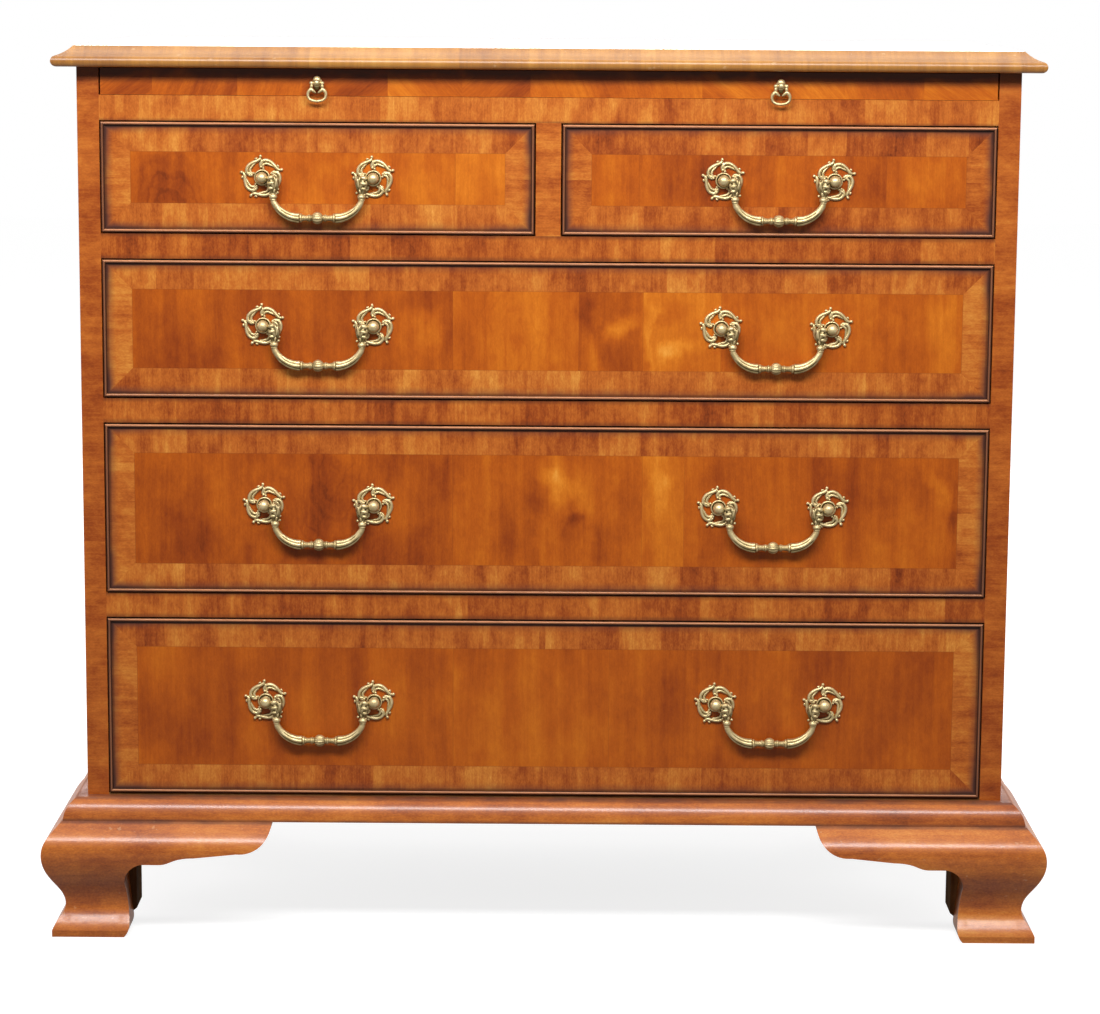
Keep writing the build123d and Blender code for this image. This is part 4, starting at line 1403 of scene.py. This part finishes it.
    def bail(self) -> Shell:
        """The whole bail about its pin axis: pins, carved leaves, bends and turned middle.

        Returns:
            The bail.
        """
        half_spacing = self.spacing / 2
        leaf_x = self.leaf_reach - half_spacing
        rows = smooth_profile(self.leaf_profile, 0.55)
        fade = np.clip((rows[:, 0] + 15.0) / 9.0, 0, 1) * 0.16
        leaf = turning(rows, Z_AXIS, 40, ORIGIN, 6, fade, 0.075).stretched(1.14, 0.92, 1.0)
        leaf.hollow = np.clip(leaf.hollow * 0.8 + 0.28, 0.0, 1.0)
        hanging = join([
            leaf, *(ball(*curl) for curl in self.curls),
            ball((0, 0, -self.collar_drop), self.collar_ball, Z_AXIS, 0.82, 24, 15),
            turning(smooth_profile(self.neck_profile, 0.5), Z_AXIS), self._bend(),
        ]).moved((leaf_x, 0, 0))
        pin_end = self.pin_gap - half_spacing
        pin = turning(smooth_profile(((pin_end, 0.0), (pin_end, self.pin_radius), (leaf_x, self.pin_radius),
                                      (leaf_x, 0.0)), 1.2), X_AXIS, 16)
        half = join([hanging, pin])
        whole = join([half, half.stretched(-1, 1, 1), self._middle()])
        whole.hollow = np.clip(whole.hollow + self.handled, 0.0, 1.0)
        return whole

    def _middle(self) -> Shell:
        """Turned middle: bead, thin neck with tiny beads, small bead and a lobed ball.

        Returns:
            The middle, about the pin axis.
        """
        angle = np.radians(np.linspace(155.0, 90.0, 10))
        crown = np.stack([np.cos(angle), np.sin(angle)], axis=-1) * self.middle_ball
        left = np.concatenate([self.middle_end, *(arc_profile(*bead) for bead in self.middle_beads), crown])
        rows = np.concatenate([left, left[-2::-1] * (-1, 1)])
        depth = np.where(np.abs(rows[:, 0]) < 5.0, 0.055, 0.0)
        return turning(rows, X_AXIS, 48, (0, 0, -self.middle_drop), 12, depth)


# Slide pulls


@dataclass
class SlidePull:
    """Small post with a hanging ring; sizes in millimetres about the ring's bar."""

    ball_reach: float = 7.0
    post_foot: Pairs = (
        (1.0, 0.0), (1.0, 4.2), (-0.5, 4.6), (-1.1, 4.4), (-1.5, 3.4), (-2.4, 2.4), (-3.4, 2.2),
    )
    head: tuple[float, float] = (3.9, 3.3)
    knob_place: float = 4.9
    knob_radius: float = 1.95
    bar_radius: float = 1.0
    dome: Bead = ((0.0, 1.2, 2.4), 3.7, Y_AXIS, 0.75)
    barrel: Bead = ((0.0, 1.0, -3.2), 2.6, Z_AXIS, 1.45)
    half_ring: Pairs = (
        (0.9, -9.3), (3.1, -7.6), (5.3, -6.1), (7.5, -8.2), (8.2, -11.0), (7.2, -14.0), (4.4, -16.0),
        (0.0, -16.8),
    )
    wire_widths: tuple[float, ...] = (0.6, 1.5, 1.75, 1.45, 1.2, 1.2, 1.25)
    seam_radius: float = 1.25

    def post(self) -> Shell:
        """Post along Y with a round base, a domed head above the bar and a barrel under it.

        Returns:
            The post.
        """
        arc = np.radians(np.linspace(36.0, 180.0, 14))
        head = np.stack([np.cos(arc), np.sin(arc)], axis=-1) * self.head - (self.ball_reach, 0.0)
        neck = turning(smooth_profile((*self.post_foot, *head), 0.5), Y_AXIS, 26)
        barrel = ball(*self.barrel, 20, 13)
        # Painted shade: the barrel's lower part is darkened, under the dome.
        barrel.hollow = barrel.hollow + np.clip((-2.0 - barrel.points[:, 2]) / 2.5, 0.0, 0.9)
        return join([neck, join([ball(*self.dome, 22, 13), barrel]).moved((0, -self.ball_reach, 0))])

    def ring(self) -> Shell:
        """Kidney-shaped ring about its bar at the origin, with a shoulder and a knob at each end.

        Returns:
            The ring.
        """
        shells = []
        for sign in (-1, 1):
            wire = wire_along(np.asarray(self.half_ring) * (sign, 1), self.wire_widths, 1.0, 1.0, 0.0, 44, 18)
            wire.hollow = np.zeros(len(wire.points))
            place = sign * self.knob_place
            shells += [wire, ball((place, 0.0, -0.4), self.knob_radius, X_AXIS, 1.0, 20, 13),
                       ball((place, 0.0, -3.3), 1.5, (sign * 0.12, 0, -1), 2.1)]
        bar = turning(smooth_profile(((-self.knob_place, 0.0), (-self.knob_place, self.bar_radius),
                                      (self.knob_place, self.bar_radius), (self.knob_place, 0.0)), 0.8),
                      X_AXIS, 16)
        return join([*shells, bar, ball((0.0, 0.0, self.half_ring[-1][1]), self.seam_radius)])


# Sub-assemblies


@dataclass
class Drawers:
    """The five drawers: fronts, beads, linings and brass."""

    brass: bpy.types.Material
    handle: Handle = field(default_factory=Handle)

    def fronts(self) -> dict[str, DrawerFrontFinish]:
        """Finish of each drawer front.

        Returns:
            Each drawer's name and the finish of its front.
        """
        looks = {
            "left_short": dict(
                seed=1.3, tone=-0.03, figure=0.8, joints=(-0.250, -0.085),
                leaf_tones=(-0.06, 0.05, 0.12), flames=(
                    Flame(-0.350, 0.660, 0.020, 0.040, 0.0, 0.0, 0.09),
                    Flame(-0.352, 0.690, 0.045, 0.045, 0.14),
                    Flame(-0.118, 0.712, 0.036, 0.045, -0.16), Flame(-0.235, 0.700, 0.03, 0.03, 0.06),
                    Flame(-0.190, 0.722, 0.028, 0.012, -0.10, 0.8))),
            "right_short": dict(
                seed=4.9, tone=-0.14, figure=0.8, joints=(0.083, 0.309),
                leaf_tones=(0.15, 0.02, 0.06), flames=(
                    Flame(0.150, 0.712, 0.045, 0.040, 0.14), Flame(0.105, 0.712, 0.014, 0.05, -0.10),
                    Flame(0.345, 0.712, 0.030, 0.024, -0.12), Flame(0.265, 0.700, 0.03, 0.03, 0.06))),
            "upper_long": dict(
                seed=8.2, tone=0.0, figure=0.75, joints=(-0.087, 0.029, 0.088, 0.160),
                leaf_tones=(-0.13, 0.05, -0.10, 0.06, -0.03), flames=(
                    Flame(-0.108, 0.577, 0.022, 0.020, -0.20, 0.3), Flame(-0.094, 0.555, 0.007, 0.040, 0.14),
                    Flame(-0.130, 0.600, 0.018, 0.014, 0.10), Flame(-0.360, 0.548, 0.040, 0.034, 0.10),
                    Flame(0.040, 0.585, 0.009, 0.040, 0.24, -0.2),
                    Flame(0.068, 0.577, 0.015, 0.011, -0.40, 0.4),
                    Flame(0.064, 0.548, 0.024, 0.014, 0.12), Flame(0.093, 0.570, 0.005, 0.090, -0.18),
                    Flame(0.114, 0.592, 0.019, 0.013, 0.14), Flame(0.120, 0.553, 0.022, 0.010, -0.26, 0.8),
                    Flame(0.365, 0.575, 0.010, 0.060, -0.14),
                    Flame(-0.030, 0.560, 0.020, 0.060, 0.0, 0.0, 0.05))),
            "middle_long": dict(
                seed=12.6, tone=-0.04, figure=0.8, joints=(-0.087, 0.089, 0.128),
                leaf_tones=(-0.09, 0.01, 0.14, -0.03), flames=(
                    Flame(0.074, 0.430, 0.012, 0.06, 0.10), Flame(-0.355, 0.385, 0.040, 0.040, 0.12),
                    Flame(-0.197, 0.440, 0.022, 0.050, 0.04, 0.0, 0.06),
                    Flame(0.012, 0.425, 0.016, 0.024, -0.30, -0.6), Flame(0.029, 0.396, 0.008, 0.008, 0.26),
                    Flame(0.048, 0.385, 0.030, 0.010, 0.08), Flame(0.104, 0.440, 0.012, 0.034, -0.20),
                    Flame(-0.150, 0.455, 0.030, 0.016, 0.10), Flame(0.366, 0.425, 0.010, 0.026, -0.24, -0.4),
                    Flame(0.378, 0.398, 0.008, 0.010, 0.20), Flame(-0.010, 0.370, 0.06, 0.03, 0.05))),
            "lower_long": dict(
                seed=17.1, tone=-0.05, figure=0.7, joints=(-0.086, 0.060),
                leaf_tones=(-0.03, 0.04, -0.05), flames=(
                    Flame(-0.330, 0.200, 0.05, 0.05, 0.05), Flame(0.330, 0.215, 0.05, 0.05, 0.06))),
        }
        return {name: DrawerFrontFinish(f"{name}_veneer", *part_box(f"{name}_front"), **look)
                for name, look in looks.items()}

    def build(self) -> None:
        """Dress the wood and make the brass of every drawer."""
        shared = {
            "sides": BoardFinish("drawer_lining_along", Run.Y, 6.0).material(),
            "back": BoardFinish("drawer_lining_across", Run.X, 2.0).material(),
            "bottom": BoardFinish("drawer_floor", Run.X, 9.0, PINE, WAXED, 0.12, 0.12).material(),
            "cock_bead": BeadFinish("cock_bead_edge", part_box("left_short_front")[0].y).material(),
        }
        for name, finish in self.fronts().items():
            dress(f"{name}_front", finish.material())
            for part, material in shared.items():
                dress(f"{name}_{part}", material)
            self._brass(name)

    def _brass(self, name: str) -> None:
        """Make the handles of one drawer, each on a joint's place.

        Args:
            name: The drawer's name.
        """
        bail = self.handle.bail()
        pins = []
        for joint in frame["joints"]:
            if joint["type"] == "hinge" and joint["parent"] == f"{name}_drawer":
                pins.append(np.array(joint["pos_m"]) / MM)
                node = joint["child"].removesuffix("_body")
                piece_from(bail.moved(pins[-1]), f"{node}_cast", self.brass, joint["child"], [node])
        piece_from(self.handle.mounts(pins), f"{name}_roses", self.brass, f"{name}_drawer",
                   [f"{name}_handle_mounts"])


@dataclass
class BrushingSlide:
    """The slide under the top: board, veneered edge and two pulls."""

    brass: bpy.types.Material
    pull: SlidePull = field(default_factory=SlidePull)

    def build(self) -> None:
        """Dress the board and make the pulls."""
        board = BoardFinish("slide_board_wood", Run.X, 3.0, BRACKET, FRENCH_POLISH, 0.2, -0.12)
        # The dark band along the top of the slide edge is a painted shadow under the top moulding, with dirt.
        edge = BandedFinish("slide_edge_veneer", Run.X, Run.Z, 21.0, -0.07, segment_rate=15.0, segment=0.24,
                            slant=3.0, grime_and_shade=2.0, grime_and_shade_heights=(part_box("slide_front_edge")[1].z,),
                            grime_and_shade_reach=0.017, timber=VENEER)
        dress("slide_board", board.material())
        dress("slide_front_edge", edge.material())
        posts = []
        for joint in frame["joints"]:
            if joint["child"] in ("left_ring", "right_ring"):
                side = joint["child"].removesuffix("_ring")
                pin = np.array(joint["pos_m"]) / MM
                posts.append(self.pull.post().moved(pin + (0, self.pull.ball_reach, 0)))
                piece_from(self.pull.ring().moved(pin), f"{side}_pull_ring", self.brass, f"{side}_ring",
                           [f"{side}_slide_ring"])
        piece_from(join(posts), "slide_pull_heads", self.brass, "brushing_slide", ["slide_pull_posts"])


@dataclass
class Case:
    """The fixed case: sides, rails, top, mouldings, feet and inside timber."""

    foot_seam: float = 0.1095
    front_gap: float = 0.0011

    def finishes(self) -> dict[str, Finish]:
        """Finish of every node of the case.

        Returns:
            Each node's name and its finish.
        """
        half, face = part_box("right_side")[1].x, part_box("left_short_front")[0].y
        edges = tuple(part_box(f"{name}_front")[end].z + sign * self.front_gap
                      for name in ("left_short", "upper_long", "middle_long", "lower_long")
                      for end, sign in ((0, -1), (1, 1)))
        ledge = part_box("base_moulding")[1].z
        feet = {node: MouldingFinish(f"{node}_wood", half, face, 13.0 + 5.0 * place, BRACKET, FOOT_POLISH,
                                     False, 4.0, 0.1, 0.25, 0.02, (self.foot_seam,))
                for place, node in enumerate(("front_left_foot", "front_right_foot", "rear_left_foot",
                                              "rear_right_foot"))}
        return {
            "left_side": SideFinish("left_side_veneer", *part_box("left_side"), 2.0),
            "right_side": SideFinish("right_side_veneer", *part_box("right_side"), 7.0),
            # The dark bands on the rails at the drawer edges are painted shadow under the cock beads, with dirt.
            "drawer_rails": BandedFinish("rail_crossband", Run.X, Run.Z, 31.0, -0.10, -0.22,
                                         grime_and_shade_heights=edges),
            "slide_rail": BandedFinish("slide_rail_crossband", Run.X, Run.Z, 43.0, 0.01,
                                       grime_and_shade_heights=edges[1:2], grime_and_shade_reach=0.003),
            "centre_divider": BandedFinish("divider_crossband", Run.Z, Run.X, 51.0, segment_rate=18.0,
                                           segment=0.15),
            "top_panel": TopFinish("top_veneer", *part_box("top_panel")),
            "top_moulding": MouldingFinish("top_crossgrain", half, face, 5.0, MOULDED, MOULD_POLISH, True,
                                           14.0, 0.22, 0.3, 0.02),
            "base_moulding": MouldingFinish("base_moulding_wood", half, face, 9.0, BRACKET, FOOT_POLISH,
                                            False, 5.0, 0.1, 0.0, -0.05, (self.foot_seam, ledge)),
            **feet,
            "bottom_board": BoardFinish("bottom_board_pine", Run.X, 4.0, PINE, BARE),
            "drawer_runners": BoardFinish("runner_oak", Run.Y, 5.0, OAK, BARE, 0.05, -0.12),
            "drawer_stops": BoardFinish("stop_oak", Run.X, 8.0, OAK, BARE, 0.05, -0.05),
            "back_boards": BoardFinish("back_board_pine", Run.Z, 6.0, PINE, BARE, 0.17),
            "foot_blocks": BoardFinish("foot_block_pine", Run.Z, 7.0, PINE, BARE, 0.05, -0.30),
        }

    def build(self) -> None:
        """Dress every node of the case."""
        for node, finish in self.finishes().items():
            dress(node, finish.material())


# Studio


@dataclass(frozen=True)
class Lamp:
    """Rectangular lamp turned towards its aim: sizes in metres, power in watts."""

    name: str
    place: Point
    aim: Point
    width: float
    height: float
    power: float

    def build(self) -> None:
        """Hang the lamp."""
        data = bpy.data.lights.new(self.name, "AREA")
        data.shape = "RECTANGLE"
        data.size, data.size_y = self.width, self.height
        data.energy = self.power
        lamp = add_object(self.name, data)
        lamp.location = self.place
        lamp.visible_camera = False
        lamp.rotation_euler = (Vector(self.aim) - Vector(self.place)).to_track_quat("-Z", "Y").to_euler()


@dataclass
class Studio:
    """Camera, lamps, sky and floor, in metres and radians."""

    focal_px: float = 3257.07
    frame_width_px: float = 1100.0
    sensor: float = 36.0
    eye: Point = (0.00449, -3.19386, 0.89088)
    yaw: float = -0.000321
    pitch: float = 0.160596
    roll: float = 0.0068805
    floor_half: float = 9.0
    lamps: tuple[Lamp, ...] = (
        Lamp("key", (-0.05, -1.25, 1.50), (0.0, -0.20, 0.45), 1.60, 0.28, 25.0),
        Lamp("overhead", (0.00, 0.45, 2.60), (0.0, 0.10, 0.80), 2.00, 1.20, 11.0),
        Lamp("left_fill", (-3.00, 0.55, 1.50), (0.0, 0.0, 0.45), 1.60, 1.60, 46.0),
        Lamp("right_fill", (3.00, 0.55, 1.50), (0.0, 0.0, 0.45), 1.60, 1.60, 46.0),
        Lamp("back_fill", (0.0, 3.20, 1.80), (0.0, 0.0, 0.45), 2.00, 1.20, 62.0),
    )

    def build(self) -> None:
        """Make the whole studio."""
        self._camera()
        for lamp in self.lamps:
            lamp.build()
        self._sky()
        self._floor()

    def _camera(self) -> None:
        """Camera from its place, yaw, pitch and roll; its lens from the focal length in pixels."""
        c, s = math.cos(self.yaw), math.sin(self.yaw)
        ahead = np.array([s * math.cos(self.pitch), c * math.cos(self.pitch), -math.sin(self.pitch)])
        right = np.array([c, -s, 0.0])
        up = np.cross(right, ahead)
        cr, sr = math.cos(self.roll), math.sin(self.roll)
        matrix = np.eye(4)
        matrix[:3, :3] = np.stack([cr * right + sr * up, cr * up - sr * right, -ahead], axis=-1)
        matrix[:3, 3] = self.eye
        data = bpy.data.cameras.new("camera")
        data.sensor_width = self.sensor
        data.lens = self.focal_px * self.sensor / self.frame_width_px
        camera = add_object("camera", data)
        camera.matrix_world = Matrix(matrix.tolist())
        bpy.context.scene.camera = camera

    def _sky(self) -> None:
        """White to the camera, dim below and bright above to what the object reflects and takes in."""
        world = bpy.data.worlds.new("studio_sky")
        world.use_nodes = True
        bpy.context.scene.world = world
        g = Graph(world.node_tree)
        up = g.split(g.add("ShaderNodeTexCoord").outputs["Generated"])[2]
        rays = g.add("ShaderNodeLightPath").outputs
        soft = up.rise(0.20, 1.0) * 0.60 + 0.07
        gloss = up.rise(0.30, 0.70) * 0.45 + 0.45
        glossy = g.wire(rays["Is Glossy Ray"])
        level = glossy * gloss + (1.0 - glossy) * soft
        seen = g.wire(rays["Is Camera Ray"]).largest(rays["Is Transmission Ray"])
        level = seen + (1.0 - seen) * level
        sky = g.add("ShaderNodeBackground", None, {"Color": g.grey(level), "Strength": 1.0})
        g.add("ShaderNodeOutputWorld", None, {"Surface": sky})

    def _floor(self) -> None:
        """Square floor about the object."""
        half = self.floor_half
        mesh = bpy.data.meshes.new("floor")
        mesh.from_pydata([(-half, -half, 0), (half, -half, 0), (half, half, 0), (-half, half, 0)], [],
                         [(0, 1, 2, 3)])
        mesh.materials.append(FloorFinish().material())
        floor = add_object("floor", mesh)


def main() -> None:
    """Build the chest's looks and its studio."""
    logging.basicConfig(level=logging.INFO, format="%(name)s: %(message)s")
    bpy.context.scene.view_settings.view_transform = "Standard"
    Studio().build()
    brass = BrassFinish().material()
    Case().build()
    Drawers(brass).build()
    BrushingSlide(brass).build()


if __name__ == "__main__":
    main()
